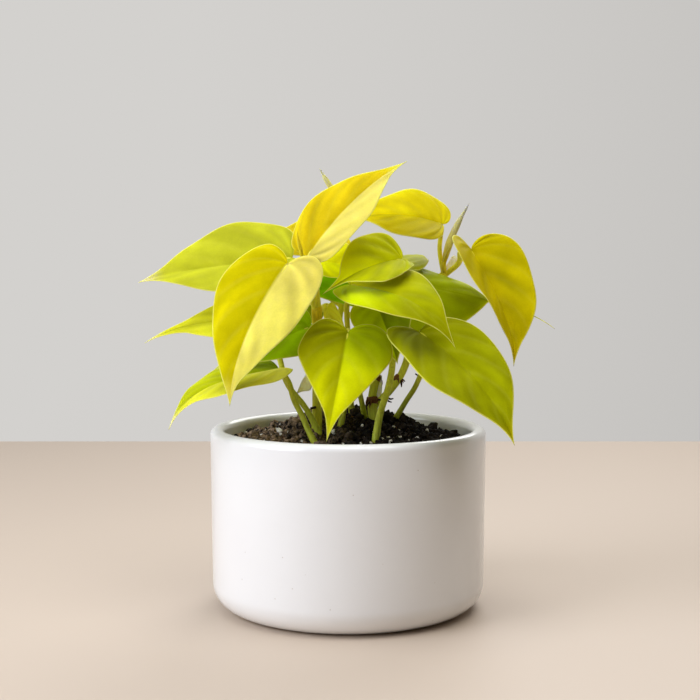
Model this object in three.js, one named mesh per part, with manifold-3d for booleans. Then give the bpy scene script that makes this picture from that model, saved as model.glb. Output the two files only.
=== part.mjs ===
// A small golden heart-leaf philodendron in a round white pot.
// Millimetres, +Z up, the front of the plant towards -Y. The origin is the centre of the pot's underside.

import * as THREE from 'three';
import { mergeVertices } from 'three/addons/utils/BufferGeometryUtils.js';
import Module from 'manifold-3d';

const wasm = await Module();
wasm.setup();

// Driving dimensions of the pot
const POT_RADIUS = 62.5;
const POT_HEIGHT = 82;
const POT_DRAFT = 0.7;
const POT_WALL = 6.5;
const RIM_ROUND = 3.2;
const FOOT_ROUND = 12;
const FLOOR_THICKNESS = 8;
const POT_SIDES = 48;

// Clearances: between touching pieces, and around a stem's foot in the soil
const GAP = 0.3;
const HOLE_GAP = 0.45;

// Driving dimensions of the soil
const SOIL_EDGE_HEIGHT = 74;
const SOIL_DISH = 4.5;
const MOUND_HEIGHT = 8;
const MOUND_CENTRE = [0, 16];
const MOUND_WIDTH = 30;
const SOIL_RINGS = 6;
const SOIL_SIDES = 48;

// Blades. The margin's numbers are shares of the blade's length
const BLADE_THICKNESS = 0.7;
const MARGIN_HALF_WIDTH = 0.44;
const WIDEST_AT = 0.15;
const LOBE_HANDLE = 0.15;
const FULLNESS = 0.38;
const FULLNESS_GAIN = 0.15;
const TIP_EASE = 0.25;
const LOBE_MIDDLE = 0.2;
const LOBE_REACH = 0.11;
const LOBE_SHARE = 0.38;
const RAY_SWEEP = 1.3;
const OPEN_LEAF_GRID = [14, 6];
const HIDDEN_LEAF_GRID = [10, 4];

// Stems and leaf stalks: a section's sides and the length of one step along the curve
const STALK_SIDES = 6;
const STEM_SIDES = 8;
const CURVE_STEP = 9;
const BURIED = 12;
const NODE_SWELL = 1.35;
const STALK_TURN = 4;
const STALK_LEAN = 0.4;
const WELD = 1e-3;

const vec = (p) => new THREE.Vector3(...p);
const degrees = THREE.MathUtils.degToRad;

function material(color, roughness) {
  return new THREE.MeshStandardMaterial({ color, roughness, metalness: 0 });
}

const GLAZE = material('#f1efec', 0.28);
const SOIL_MIX = material('#2b1d15', 0.95);
const LEAF_YELLOW = material('#d8cb0a', 0.45);
const LEAF_LIME = material('#a9bd17', 0.45);
const LEAF_GREEN = material('#6d8f12', 0.45);
const STALK_GREEN = material('#8fa02c', 0.5);
const SHEATH_BEIGE = material('#c9ad7b', 0.8);

// Solids from closed geometry, for joins and cuts

function merged(geometry) {
  const bare = geometry.clone();
  bare.deleteAttribute('normal');
  bare.deleteAttribute('uv');
  return mergeVertices(bare, WELD);
}

function solid(geometry) {
  const closed = merged(geometry);
  return new wasm.Manifold(new wasm.Mesh({
    numProp: 3,
    vertProperties: new Float32Array(closed.attributes.position.array),
    triVerts: new Uint32Array(closed.index.array),
  }));
}

function geometryOf(body) {
  const mesh = body.getMesh();
  const geometry = new THREE.BufferGeometry();
  geometry.setAttribute('position', new THREE.Float32BufferAttribute(mesh.vertProperties, 3));
  geometry.setIndex(Array.from(mesh.triVerts));
  return geometry;
}

// Pot: one turned profile, from the axis of the underside out, up and over the rim, and down inside

function potProfile() {
  const foot = new THREE.Vector2(POT_RADIUS - POT_DRAFT, 0);
  const shape = new THREE.Path();
  shape.moveTo(0, 0);
  shape.lineTo(foot.x - FOOT_ROUND, 0);
  shape.absarc(foot.x - FOOT_ROUND, FOOT_ROUND, FOOT_ROUND, -Math.PI / 2, 0, false);
  shape.lineTo(POT_RADIUS, POT_HEIGHT - RIM_ROUND);
  shape.absarc(POT_RADIUS - RIM_ROUND, POT_HEIGHT - RIM_ROUND, RIM_ROUND, 0, Math.PI, false);
  shape.lineTo(POT_RADIUS - POT_WALL, POT_HEIGHT - RIM_ROUND);
  shape.lineTo(POT_RADIUS - POT_DRAFT - POT_WALL, FLOOR_THICKNESS + FOOT_ROUND);
  shape.lineTo(POT_RADIUS - POT_DRAFT - FOOT_ROUND, FLOOR_THICKNESS);
  shape.lineTo(0, FLOOR_THICKNESS);
  return shape.getPoints(5);
}

function standing(lathe) {
  return lathe.rotateX(Math.PI / 2);
}

const pot = standing(new THREE.LatheGeometry(potProfile(), POT_SIDES));

// Soil: it fills the pot to a dished surface with a mound behind the middle

function soilTop(x, y) {
  const radius = POT_RADIUS - POT_WALL;
  const dish = SOIL_DISH * (1 - (x * x + y * y) / (radius * radius));
  const reach = Math.hypot(x - MOUND_CENTRE[0], y - MOUND_CENTRE[1]) / MOUND_WIDTH;
  return SOIL_EDGE_HEIGHT + dish + MOUND_HEIGHT * Math.exp(-Math.pow(reach, 4));
}

function soilBody() {
  const edge = POT_RADIUS - POT_WALL - GAP;
  const low = FLOOR_THICKNESS + GAP;
  const profile = [
    new THREE.Vector2(0, low),
    new THREE.Vector2(POT_RADIUS - POT_DRAFT - FOOT_ROUND - GAP, low),
    new THREE.Vector2(edge - POT_DRAFT, low + FOOT_ROUND),
  ];
  for (let ring = SOIL_RINGS; ring >= 0; ring -= 1) {
    profile.push(new THREE.Vector2(edge * ring / SOIL_RINGS, SOIL_EDGE_HEIGHT));
  }
  const body = standing(new THREE.LatheGeometry(profile, SOIL_SIDES));
  const place = body.attributes.position;
  for (let i = 0; i < place.count; i += 1) {
    if (place.getZ(i) > SOIL_EDGE_HEIGHT - 1) {
      place.setZ(i, soilTop(place.getX(i), place.getY(i)));
    }
  }
  return solid(body);
}

// Leaf blade: a flat sheet pulled into a heart, bent along its midrib and thickened

// The flat margin of one half in blade lengths: x away from the midrib, y from the stalk's joint (0)
// to the tip (1). lobe scales how far the lobe reaches back, full fills out the middle, widest is where
// the half is widest, drip where the drip tip starts and neck how wide it is there
function margin(lobe, full, widest, drip, neck) {
  const at = (x, y) => new THREE.Vector2(x, y);
  const back = -LOBE_REACH * lobe;
  const wide = MARGIN_HALF_WIDTH;
  const fullness = drip * (FULLNESS + FULLNESS_GAIN * full) - LOBE_HANDLE;
  const flank = widest + fullness * (drip - widest) / (drip - LOBE_HANDLE);
  const inner = at(0.22 + 0.1 * full, drip * 0.78);
  const start = at(neck, drip);
  const point = drip + 0.65 * (1 - drip);
  const curve = new THREE.CurvePath();
  curve.add(new THREE.CubicBezierCurve(
    at(0, 0), at(0.02, back / 2), at(LOBE_MIDDLE / 2, back), at(LOBE_MIDDLE, back)));
  curve.add(new THREE.CubicBezierCurve(
    at(LOBE_MIDDLE, back), at(0.34, back), at(wide, widest - LOBE_HANDLE), at(wide, widest)));
  curve.add(new THREE.CubicBezierCurve(at(wide, widest), at(wide, flank), inner, start));
  curve.add(new THREE.CubicBezierCurve(
    start, start.clone().lerp(inner, -TIP_EASE), at(0.012, point), at(0, 1)));
  return curve;
}

// Where the ray to margin point s leaves the midrib: all rays of the lobe start at the stalk's joint
function rayStart(s) {
  return Math.pow(Math.max(0, (s - LOBE_SHARE) / (1 - LOBE_SHARE)), RAY_SWEEP);
}

// Direction that the upper face looks in: turn 0 is the front, 90 is +X, and lift 90 is straight up
function facing(turn, lift) {
  const a = degrees(turn);
  const b = degrees(lift);
  return new THREE.Vector3(Math.sin(a) * Math.cos(b), -Math.cos(a) * Math.cos(b), Math.sin(b));
}

// The midrib in space and the direction of the upper face: arch bows it upwards, bend sideways
function bladeFrame(leaf) {
  const base = vec(leaf.base);
  const tip = vec(leaf.tip);
  const chord = tip.clone().sub(base);
  const up = facing(...leaf.faces).projectOnPlane(chord.clone().normalize()).normalize();
  const side = up.clone().cross(chord).normalize();
  const [bow1, bow2] = leaf.arch;
  const pull = (share, bow) => base.clone()
    .addScaledVector(chord, share)
    .addScaledVector(up, bow)
    .addScaledVector(side, leaf.bend ?? 0);
  const midrib = new THREE.CubicBezierCurve3(base, pull(0.33, bow1), pull(0.7, bow2), tip);
  return { midrib, up };
}

function bladeSurface(leaf) {
  const { midrib, up } = bladeFrame(leaf);
  const length = midrib.getLength();
  const { lobes = [1, 1], full = [0.4, 0.4], widest = [WIDEST_AT, WIDEST_AT] } = leaf;
  const { drip = 0.8, neck = 0.11 } = leaf;
  const margins = [0, 1].map((hand) => margin(lobes[hand], full[hand], widest[hand], drip, neck));
  const fold = degrees(leaf.fold ?? 12);
  const curl = degrees(leaf.curl ?? -12);

  // One point of the blade: t runs from the left margin (-1) over the midrib (0) to the right margin (1)
  return (s, t) => {
    const hand = t < 0 ? 0 : 1;
    const outer = margins[hand].getPoint(s);
    const reach = Math.abs(t);
    const half = leaf.halves[hand];
    const across = outer.x * reach * half / MARGIN_HALF_WIDTH;
    const along = THREE.MathUtils.lerp(rayStart(s), outer.y, reach);
    const u = THREE.MathUtils.clamp(along, 0, 1);
    const point = midrib.getPointAt(u);
    const forward = midrib.getTangentAt(u);
    point.addScaledVector(forward, Math.min(along, 0) * length);
    const normal = up.clone().projectOnPlane(forward).normalize();
    const right = normal.clone().cross(forward);
    const rise = fold + curl * across / half / 2;
    point.addScaledVector(right, Math.sign(t) * across * Math.cos(rise));
    return point.addScaledVector(normal, across * Math.sin(rise));
  };
}

// A sheet gets its thickness: two faces split into triangles alike, and a wall along the open edge
function thickened(sheet, thickness) {
  sheet.computeVertexNormals();
  const place = sheet.attributes.position;
  const normal = sheet.attributes.normal;
  const count = place.count;
  const points = [];
  for (const offset of [thickness / 2, -thickness / 2]) {
    for (let i = 0; i < count; i += 1) {
      points.push(place.getX(i) + normal.getX(i) * offset);
      points.push(place.getY(i) + normal.getY(i) * offset);
      points.push(place.getZ(i) + normal.getZ(i) * offset);
    }
  }
  const faces = [];
  const open = new Map();
  const index = sheet.index.array;
  for (let i = 0; i < index.length; i += 3) {
    const corners = [index[i], index[i + 1], index[i + 2]];
    faces.push(...corners);
    faces.push(corners[2] + count, corners[1] + count, corners[0] + count);
    for (let k = 0; k < 3; k += 1) {
      const from = corners[k];
      const to = corners[(k + 1) % 3];
      if (!open.delete(`${to},${from}`)) open.set(`${from},${to}`, [from, to]);
    }
  }
  for (const [from, to] of open.values()) {
    faces.push(to, from, from + count);
    faces.push(to, from + count, to + count);
  }
  const body = new THREE.BufferGeometry();
  body.setAttribute('position', new THREE.Float32BufferAttribute(points, 3));
  body.setIndex(faces);
  return body;
}

// Triangles that shrank to nothing where a row of the sheet meets in one point are left out
function withoutSlivers(sheet) {
  const index = [];
  const old = sheet.index.array;
  for (let i = 0; i < old.length; i += 3) {
    const [a, b, c] = [old[i], old[i + 1], old[i + 2]];
    if (a !== b && b !== c && c !== a) index.push(a, b, c);
  }
  sheet.setIndex(index);
  return sheet;
}

function blade(leaf) {
  const surface = bladeSurface(leaf);
  const [rows, columns] = leaf.grid ?? OPEN_LEAF_GRID;
  const sheet = new THREE.PlaneGeometry(2, 1, columns, rows);
  const place = sheet.attributes.position;
  for (let i = 0; i < place.count; i += 1) {
    const point = surface(0.5 - place.getY(i), place.getX(i));
    place.setXYZ(i, ...point);
  }
  return thickened(withoutSlivers(merged(sheet)), BLADE_THICKNESS);
}

// Leaves: halves are the widths left and right of the midrib when the tip hangs down
const LEAVES = [
  {
    name: 'leaf_front_left', base: [-26, -30, 156], tip: [-49.3, -52, 97], halves: [24.5, 21.5],
    color: LEAF_YELLOW,
    faces: [-22, 28], arch: [4, 8], bend: -4, fold: 10, curl: -20, full: [0, 1], lobes: [0.7, 0.6],
    widest: [0.25, 0.18], drip: 0.82, neck: 0.1,
  },
  {
    name: 'leaf_top', base: [-18, -24, 159], tip: [26, -12, 201], halves: [17.5, 15], color: LEAF_YELLOW,
    faces: [-30, 28], arch: [5, 5], bend: 2, fold: 18, curl: -8, full: [1.1, 0.5], lobes: [0, 0],
    widest: [0.3, 0.33],
  },
  {
    name: 'leaf_back_left', base: [-25.4, 2, 158.5], tip: [-96.5, 10, 147], halves: [23, 20.5],
    color: LEAF_LIME,
    faces: [-11, 41], arch: [2, 5], full: [0.6, 0.6], lobes: [0.2, 0.6], widest: [0.32, 0.2],
  },
  {
    name: 'leaf_left', base: [-36, 3, 133.5], tip: [-92, -4, 120], halves: [12.5, 18], color: LEAF_GREEN,
    faces: [-10, 42], arch: [1, 9], full: [0, 0.4], drip: 0.65,
  },
  {
    name: 'leaf_low_left', base: [-30.5, -24, 110.5], tip: [-77, -36, 85], halves: [18, 21],
    color: LEAF_LIME,
    faces: [-50, 67], arch: [6, 15], fold: 8, curl: -14, full: [0.7, 0.9], lobes: [0, 0.6],
    widest: [0.3, 0.3],
  },
  {
    name: 'leaf_low_inner', base: [-17, -14, 128], tip: [-59, -23, 109.5], halves: [12, 12],
    color: LEAF_GREEN,
    faces: [0, 30], arch: [3, 5], fold: 8, curl: -10, full: [-0.2, 0.2], lobes: [0.5, 1],
  },
  {
    name: 'leaf_front', base: [0, -37, 127], tip: [-9, -52, 82], halves: [19.5, 20.5], color: LEAF_LIME,
    faces: [2, 15], arch: [3, 6], fold: 8, curl: -20, full: [-0.2, -0.3], lobes: [0.8, 1],
    widest: [0.25, 0.15], drip: 0.75, neck: 0.08,
  },
  {
    name: 'leaf_centre_high', base: [23.5, -14, 158], tip: [-11, -34, 143], halves: [17, 18],
    color: LEAF_LIME,
    faces: [-19, 40], arch: [6, 4], fold: 20, curl: -8, full: [1, 1], lobes: [0.8, -0.3],
    widest: [0.15, 0.5], drip: 0.72, neck: 0.1,
  },
  {
    name: 'leaf_centre', base: [1, -20, 147], tip: [45, -48, 121], halves: [16, 19], color: LEAF_LIME,
    faces: [22, 40], arch: [9, 18], fold: 8, curl: -16, full: [0.7, 0.7], lobes: [0.4, 1],
    widest: [0.35, 0.3],
  },
  {
    name: 'leaf_back_right', base: [29, 2, 148], tip: [97, 22, 125], halves: [25, 17], color: LEAF_GREEN,
    faces: [10, 45], arch: [1, 9], fold: -5, curl: -30, lobes: [0.6, 0.1], drip: 0.49, neck: 0.03,
  },
  {
    name: 'leaf_front_right', base: [30.6, -31.4, 127], tip: [68, -66, 82.5], halves: [21.5, 18],
    color: LEAF_LIME,
    faces: [23, 18], arch: [5, 8], bend: 4, fold: 16, curl: -10, full: [1, 1], lobes: [1.2, 0],
    widest: [0.36, 0.3], drip: 0.82, neck: 0.12,
  },
  {
    name: 'leaf_right', base: [56, 5, 162], tip: [72.8, -20, 111], halves: [20, 22.5],
    color: LEAF_YELLOW,
    faces: [38, 12], arch: [2, 7], bend: 3, fold: 26, curl: -8, full: [1, 0.8], lobes: [1, 0.7],
  },
  {
    name: 'leaf_top_right', base: [44, 22, 174], tip: [-2, 10, 176], halves: [16, 21],
    color: LEAF_YELLOW,
    faces: [-3, 46], arch: [7, 5], fold: 16, curl: -8, full: [0.4, 1], lobes: [1, -0.8],
    widest: [0.2, 0.4],
  },
  {
    name: 'leaf_behind_top', base: [-5, 26, 169], tip: [-46, 24, 158], halves: [14, 14],
    color: LEAF_YELLOW,
    faces: [-8, 45], arch: [4, 4], grid: HIDDEN_LEAF_GRID,
  },
  {
    name: 'leaf_inner_high', base: [-11, -1, 157], tip: [14, -1, 151], halves: [11, 11],
    color: LEAF_LIME,
    faces: [0, 20], arch: [2, 2], lobes: [0.6, 0.6], grid: HIDDEN_LEAF_GRID,
  },
  {
    name: 'leaf_inner', base: [11, 6, 144], tip: [-27, 5, 145], halves: [8.5, 9], color: LEAF_GREEN,
    faces: [0, 15], arch: [3, 3], grid: HIDDEN_LEAF_GRID,
  },
  {
    name: 'leaf_inner_low', base: [13, -10, 138], tip: [22, -15, 111.5], halves: [14, 14],
    color: LEAF_GREEN,
    faces: [5, 15], arch: [2, 3], grid: HIDDEN_LEAF_GRID,
  },
  {
    name: 'leaf_small', base: [-9.2, -2.6, 136], tip: [-4.6, -6, 117.5], halves: [2.8, 5.2], color: LEAF_LIME,
    faces: [0, 20], arch: [1, 2], grid: HIDDEN_LEAF_GRID,
  },
  {
    name: 'leaf_back_centre', base: [22, 9, 154.5], tip: [30, 58, 156.5], halves: [14, 17],
    color: LEAF_GREEN,
    faces: [0, 84], arch: [5, 5], fold: 4, grid: HIDDEN_LEAF_GRID,
  },
  {
    name: 'leaf_back_high_left', base: [-16, 24, 148], tip: [-50, 52, 128], halves: [16, 16],
    color: LEAF_LIME,
    faces: [200, 55], arch: [5, 6], grid: HIDDEN_LEAF_GRID,
  },
  {
    name: 'leaf_back_low_left', base: [-18, 16, 128], tip: [-62, 30, 125], halves: [14, 14],
    color: LEAF_GREEN,
    faces: [-10, 60], arch: [4, 5], grid: HIDDEN_LEAF_GRID,
  },
  {
    name: 'leaf_back_low_right', base: [22, 37, 136], tip: [46, 64, 108], halves: [15, 15],
    color: LEAF_GREEN,
    faces: [150, 50], arch: [5, 7], grid: HIDDEN_LEAF_GRID,
  },
  {
    name: 'dried_sheath', base: [-17.4, -8.7, 106.5], tip: [-23.4, -8.4, 97.2], halves: [1.2, 4.5],
    color: SHEATH_BEIGE,
    faces: [0, 20], arch: [0.5, 0.5], full: [0, 1], lobes: [0, 0], widest: [0.3, 0.6], drip: 0.9,
    grid: [6, 4],
  },
];

// Stems and leaf stalks: tubes along curves, fused where one grows from another

function along(points) {
  return new THREE.CatmullRomCurve3(points.map(vec));
}

function tube(points, radius, sides) {
  const path = along(points);
  const section = new THREE.Shape();
  for (let i = 0; i < sides; i += 1) {
    const angle = i * 2 * Math.PI / sides;
    const corner = [radius * Math.cos(angle), radius * Math.sin(angle)];
    if (i === 0) section.moveTo(...corner);
    else section.lineTo(...corner);
  }
  const steps = Math.max(2, Math.round(path.getLength() / CURVE_STEP));
  return new THREE.ExtrudeGeometry(section, { steps, extrudePath: path });
}

// A foot goes straight on into the soil
function rooted(points, depth) {
  const [first, second] = points.map(vec);
  const foot = first.clone().sub(second).setLength(depth).add(first);
  return [foot.toArray(), ...points];
}

// A leaf stalk ends close under the blade, where the two lobes meet
function stalkPoints(stalk) {
  const leaf = LEAVES.find((one) => one.name === stalk.leaf);
  const { midrib, up } = bladeFrame(leaf);
  const forward = midrib.getTangentAt(0);
  const normal = up.clone().projectOnPlane(forward).normalize();
  const seat = BLADE_THICKNESS / 2 + GAP + STALK_LEAN * stalk.radius;
  const end = vec(leaf.base).addScaledVector(normal, -seat);
  const approach = end.clone()
    .addScaledVector(normal, -STALK_TURN)
    .addScaledVector(forward, -0.75 * STALK_TURN);
  return [...stalk.through, approach.toArray(), end.toArray()];
}

function swelling(place, radius) {
  const ball = new THREE.SphereGeometry(radius * NODE_SWELL, STEM_SIDES, STALK_SIDES);
  return solid(ball.translate(...place));
}

function stemBody(stem) {
  let body = solid(tube(rooted(stem.through, BURIED), stem.radius, STEM_SIDES));
  for (const place of stem.nodes ?? []) {
    body = body.add(swelling(place, stem.radius));
  }
  for (const branch of stem.branches ?? []) {
    body = body.add(solid(tube(branch.through, branch.radius, STALK_SIDES)));
  }
  for (const stalk of stem.stalks ?? []) {
    body = body.add(solid(tube(stalkPoints(stalk), stalk.radius, STALK_SIDES)));
  }
  return body;
}

// Stems carry several leaves. A stem's leaf stalks start inside it
const STEMS = [
  {
    name: 'stem_left', radius: 2.1,
    through: [[-14, -10, 80], [-14, -9, 93], [-14, -7, 108], [-14, -5, 122], [-14, -7, 134], [-15, -6, 145]],
    nodes: [[-14, -9, 92], [-14, -7, 133]],
    stalks: [
      { leaf: 'leaf_front_left', radius: 1.2, through: [[-14, -7, 134], [-19, -13, 146]] },
      { leaf: 'leaf_top', radius: 1.2, through: [[-15, -6, 144], [-18, -13, 151]] },
      { leaf: 'leaf_back_left', radius: 1.2, through: [[-15, -6, 144], [-21, -1, 151]] },
      { leaf: 'leaf_inner_high', radius: 1.1, through: [[-15, -6, 144], [-15, 0, 150]] },
      { leaf: 'leaf_low_inner', radius: 1.1, through: [[-14, -7, 108], [-19, -6, 116]] },
      { leaf: 'leaf_small', radius: 0.9, through: [[-14, -6, 130], [-12, -1, 135]] },
    ],
    branches: [{ radius: 1.1, through: [[-15, -6, 144], [-15, 3, 160], [-9, 7, 176], [-4, 6, 184]] }],
  },
  {
    name: 'stem_inner', radius: 1.3,
    through: [[2, 7, 84], [0, 6, 103], [-4, 7, 125], [-3, 8, 138]],
    stalks: [
      { leaf: 'leaf_inner', radius: 1.1, through: [[-3, 8, 137], [3, 11, 141]] },
    ],
  },
  {
    name: 'stem_main', radius: 2.2,
    through: [
      [12, -4, 82], [11, -4, 94], [12, -3, 101], [14, 2, 117], [24, 14, 132], [38, 25, 143],
      [45.5, 26, 150.5],
    ],
    nodes: [[11.3, -4, 94.5], [12.6, -2, 104]],
    branches: [
      { radius: 1.7, through: [[12, -4, 92], [19, -5, 99], [25, -3, 108], [28, 0, 119], [30, 5, 132]] },
      { radius: 1.6, through: [[45, 26, 150], [48, 26, 154], [50, 26, 158]] },
    ],
    stalks: [
      { leaf: 'leaf_back_right', radius: 1.3, through: [[30, 4, 130], [30, 7, 138]] },
      { leaf: 'leaf_top_right', radius: 1.1, through: [[45, 26, 150], [43, 26, 162]] },
      { leaf: 'leaf_right', radius: 1.3, through: [[46, 26, 150.5], [51.5, 19, 156]] },
      { leaf: 'leaf_inner_low', radius: 1.1, through: [[13, 0, 112], [13, -2, 126]] },
    ],
  },
  {
    name: 'stem_back', radius: 1.9,
    through: [[12, 26, 84], [12, 26, 100], [11, 25, 120], [8, 22, 145]],
    nodes: [[11, 25, 121]],
    stalks: [
      { leaf: 'leaf_back_centre', radius: 1.1, through: [[8, 22, 143], [13, 19, 151]] },
      { leaf: 'leaf_behind_top', radius: 1.1, through: [[8, 22, 143], [3, 25, 156]] },
      { leaf: 'leaf_back_high_left', radius: 1.1, through: [[11, 25, 120], [-4, 24, 136]] },
      { leaf: 'leaf_back_low_left', radius: 1.1, through: [[11, 25, 110], [-4, 24, 120]] },
      { leaf: 'leaf_back_low_right', radius: 1.1, through: [[11, 25, 118], [17, 31, 128]] },
    ],
  },
];

// Leaf stalks that come straight out of the soil
const STALKS = [
  {
    name: 'stalk_low_left', leaf: 'leaf_low_left', radius: 1.3,
    through: [[-15, -27, 79], [-17.6, -26, 84], [-20.2, -25, 90], [-23.4, -24, 96]],
  },
  {
    name: 'stalk_left', leaf: 'leaf_left', radius: 1.3,
    through: [[-13, -15, 81], [-19, -14, 92], [-27, -10, 102], [-31, -2, 113], [-35, 0, 125]],
  },
  {
    name: 'stalk_front', leaf: 'leaf_front', radius: 1.3,
    through: [[-4, -13, 81], [-2, -15, 91], [-1, -20, 105]],
  },
  {
    name: 'stalk_centre', leaf: 'leaf_centre', radius: 1.2,
    through: [[8, 1, 84], [6, -3, 94], [3, -8, 109], [0, -12, 125]],
  },
  {
    name: 'stalk_centre_high', leaf: 'leaf_centre_high', radius: 1.5,
    through: [[12, -24, 79], [14, -22, 90], [18, -16, 102], [20, -7, 114], [19, -5, 130], [19, -7, 144]],
  },
  {
    name: 'stalk_front_right', leaf: 'leaf_front_right', radius: 1.2,
    through: [[21, 8, 83], [26, -1, 93], [31, -10, 103], [34, -17, 115]],
  },
];

// Rolled new leaves: a slim turned body from its foot to its point, fattest low down
const ROLLED_PROFILE = [[0, 0], [0.55, 0], [1, 0.3], [0.8, 0.6], [0.35, 0.88], [0, 1]];
const ROLLED_LEAVES = [
  { name: 'rolled_leaf_right', foot: [44.9, 23.6, 156], point: [57, 28, 184], radius: 1.9 },
  { name: 'rolled_leaf_top', foot: [-4, 6, 185.2], point: [-13, 8, 199], radius: 1.5 },
];

function rolledLeaf(rolled) {
  const axis = vec(rolled.point).sub(vec(rolled.foot));
  const long = axis.length();
  const outline = ROLLED_PROFILE.map(([r, h]) => new THREE.Vector2(r * rolled.radius, h * long));
  const body = standing(new THREE.LatheGeometry(outline, STEM_SIDES));
  const upright = new THREE.Vector3(0, 0, 1);
  body.applyQuaternion(new THREE.Quaternion().setFromUnitVectors(upright, axis.normalize()));
  return body.translate(...rolled.foot);
}

const group = new THREE.Group();

function addPiece(name, geometry, finish) {
  const mesh = new THREE.Mesh(geometry, finish);
  mesh.name = name;
  group.add(mesh);
}

let soil = soilBody();
for (const stem of STEMS) {
  addPiece(stem.name, geometryOf(stemBody(stem)), STALK_GREEN);
  soil = soil.subtract(solid(tube(rooted(stem.through, BURIED + GAP), stem.radius + HOLE_GAP, STEM_SIDES)));
}
for (const stalk of STALKS) {
  const points = stalkPoints(stalk);
  addPiece(stalk.name, tube(rooted(points, BURIED), stalk.radius, STALK_SIDES), STALK_GREEN);
  soil = soil.subtract(solid(tube(rooted(points, BURIED + GAP), stalk.radius + HOLE_GAP, STALK_SIDES)));
}
for (const leaf of LEAVES) {
  addPiece(leaf.name, blade(leaf), leaf.color);
}
for (const rolled of ROLLED_LEAVES) {
  addPiece(rolled.name, rolledLeaf(rolled), LEAF_YELLOW);
}
addPiece('pot', pot, GLAZE);
addPiece('soil', geometryOf(soil), SOIL_MIX);

export default group;
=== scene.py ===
# %% [markdown]
# # A small golden philodendron in a white glazed pot
#
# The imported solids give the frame: where the pot stands and where every leaf and stem is. This script
# dresses that frame. Each blade, stem, crumb of soil and the pot get the finer shape and the finish
# that the real ones have. All sizes are worked out in millimetres and turned to Blender's metres once.

# %% Load the frame
import bisect
import math
import random

import bmesh
import bpy
from mathutils import Euler, Matrix, Vector, noise
from mathutils.geometry import interpolate_bezier


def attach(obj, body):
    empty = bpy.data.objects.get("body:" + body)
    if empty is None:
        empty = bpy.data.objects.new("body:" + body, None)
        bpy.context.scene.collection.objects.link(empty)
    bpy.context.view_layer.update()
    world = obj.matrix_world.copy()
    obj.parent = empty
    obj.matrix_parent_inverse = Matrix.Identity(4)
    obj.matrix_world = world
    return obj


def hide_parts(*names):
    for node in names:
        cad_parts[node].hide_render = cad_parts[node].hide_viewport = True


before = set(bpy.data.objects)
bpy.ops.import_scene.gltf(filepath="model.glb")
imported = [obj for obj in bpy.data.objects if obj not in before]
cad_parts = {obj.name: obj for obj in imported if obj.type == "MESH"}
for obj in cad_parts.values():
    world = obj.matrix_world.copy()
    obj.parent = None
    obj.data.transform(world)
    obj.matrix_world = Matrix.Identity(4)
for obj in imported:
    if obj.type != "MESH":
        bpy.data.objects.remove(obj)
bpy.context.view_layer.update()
MM = 0.001
random.seed(27)

# %% [markdown]
# ## Camera
# The view was found from the two ellipses of the pot's rim and foot: they give the height, the tilt and
# the distance of the lens. Everything else in the scene is placed by real size, so the same camera also
# shows whether a leaf sits where it should.

# %% Camera
CAMERA_PLACE = (0.84, -620, 162.8)
CAMERA_TILT = 4.25
FRAME_PIXELS = 700
FOCAL_PIXELS = 1370
SENSOR = 36

lens = bpy.data.cameras.new("camera")
lens.sensor_width = SENSOR
lens.lens = FOCAL_PIXELS / FRAME_PIXELS * SENSOR
camera = bpy.data.objects.new("camera", lens)
camera.location = Vector(CAMERA_PLACE) * MM
camera.rotation_euler = (math.radians(90 - CAMERA_TILT), 0, 0)
bpy.context.scene.collection.objects.link(camera)
bpy.context.scene.camera = camera
print("lens:", round(lens.lens, 1), "mm")

# %% [markdown]
# ## Colour and node helpers
# Colours are picked as the eye sees them, as sRGB hex values, but shaders add light in linear values, so
# one function turns them. A second small function adds a shader node, sets it and links it, which keeps
# every material below short enough to read from top to bottom. Patterns are given by their real width.


# %% Helpers for colour and shader nodes
def linear(hex_colour):
    """An sRGB hex colour as the linear red, green, blue, alpha that a shader takes."""
    shares = [int(hex_colour[i:i + 2], 16) / 255 for i in (1, 3, 5)]
    return [s / 12.92 if s <= 0.04045 else ((s + 0.055) / 1.055) ** 2.4 for s in shares] + [1.0]


def repeats(width):
    """The Scale of a pattern whose patches or cells are that many millimetres wide."""
    return 1 / (width * MM)


def add(tree, kind, inputs=None, **settings):
    """Adds one shader node. inputs gives its sockets a value or another node's output."""
    made = tree.nodes.new(kind)
    for name, value in settings.items():
        setattr(made, name, value)
    for name, value in (inputs or {}).items():
        if isinstance(value, bpy.types.NodeSocket):
            tree.links.new(value, made.inputs[name])
        else:
            made.inputs[name].default_value = value
    return made


def new_finish(name):
    """An empty material with only its output node."""
    finish = bpy.data.materials.new(name)
    finish.use_nodes = True
    finish.node_tree.nodes.clear()
    add(finish.node_tree, "ShaderNodeOutputMaterial")
    print("finish:", name)
    return finish


def show(tree, surface):
    """Links the finished shader to the material's output."""
    output = next(n for n in tree.nodes if n.type == "OUTPUT_MATERIAL")
    tree.links.new(surface.outputs[0], output.inputs["Surface"])


# %% [markdown]
# ## Pieces
# A piece is an object at the origin with its place in its mesh. It rides on the frame's only body, takes
# the finishes it is given, and hides the solid that it stands for.


# %% Helpers that turn a bmesh into a piece
def mesh_of(body, name, finishes=()):
    """Turns a finished bmesh into a mesh with its finishes, and lets the bmesh go."""
    mesh = bpy.data.meshes.new(name)
    body.to_mesh(mesh)
    body.free()
    for finish in finishes:
        mesh.materials.append(finish)
    return mesh


def piece(name, body, finishes, node=None, smooth=True):
    """Makes a piece of a bmesh. node is the solid that it stands for."""
    mesh = mesh_of(body, name, finishes)
    if smooth:
        mesh.shade_smooth()
    return settle(bpy.data.objects.new(name, mesh), node)


def settle(made, node=None):
    """Links an object to the scene, hangs it on the frame's body, hides its solid and prints its faces."""
    bpy.context.scene.collection.objects.link(made)
    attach(made, "root")
    if node:
        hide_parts(node)
    if made.type == "MESH":
        print(made.name, len(made.data.polygons), "faces")
    return made


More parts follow.
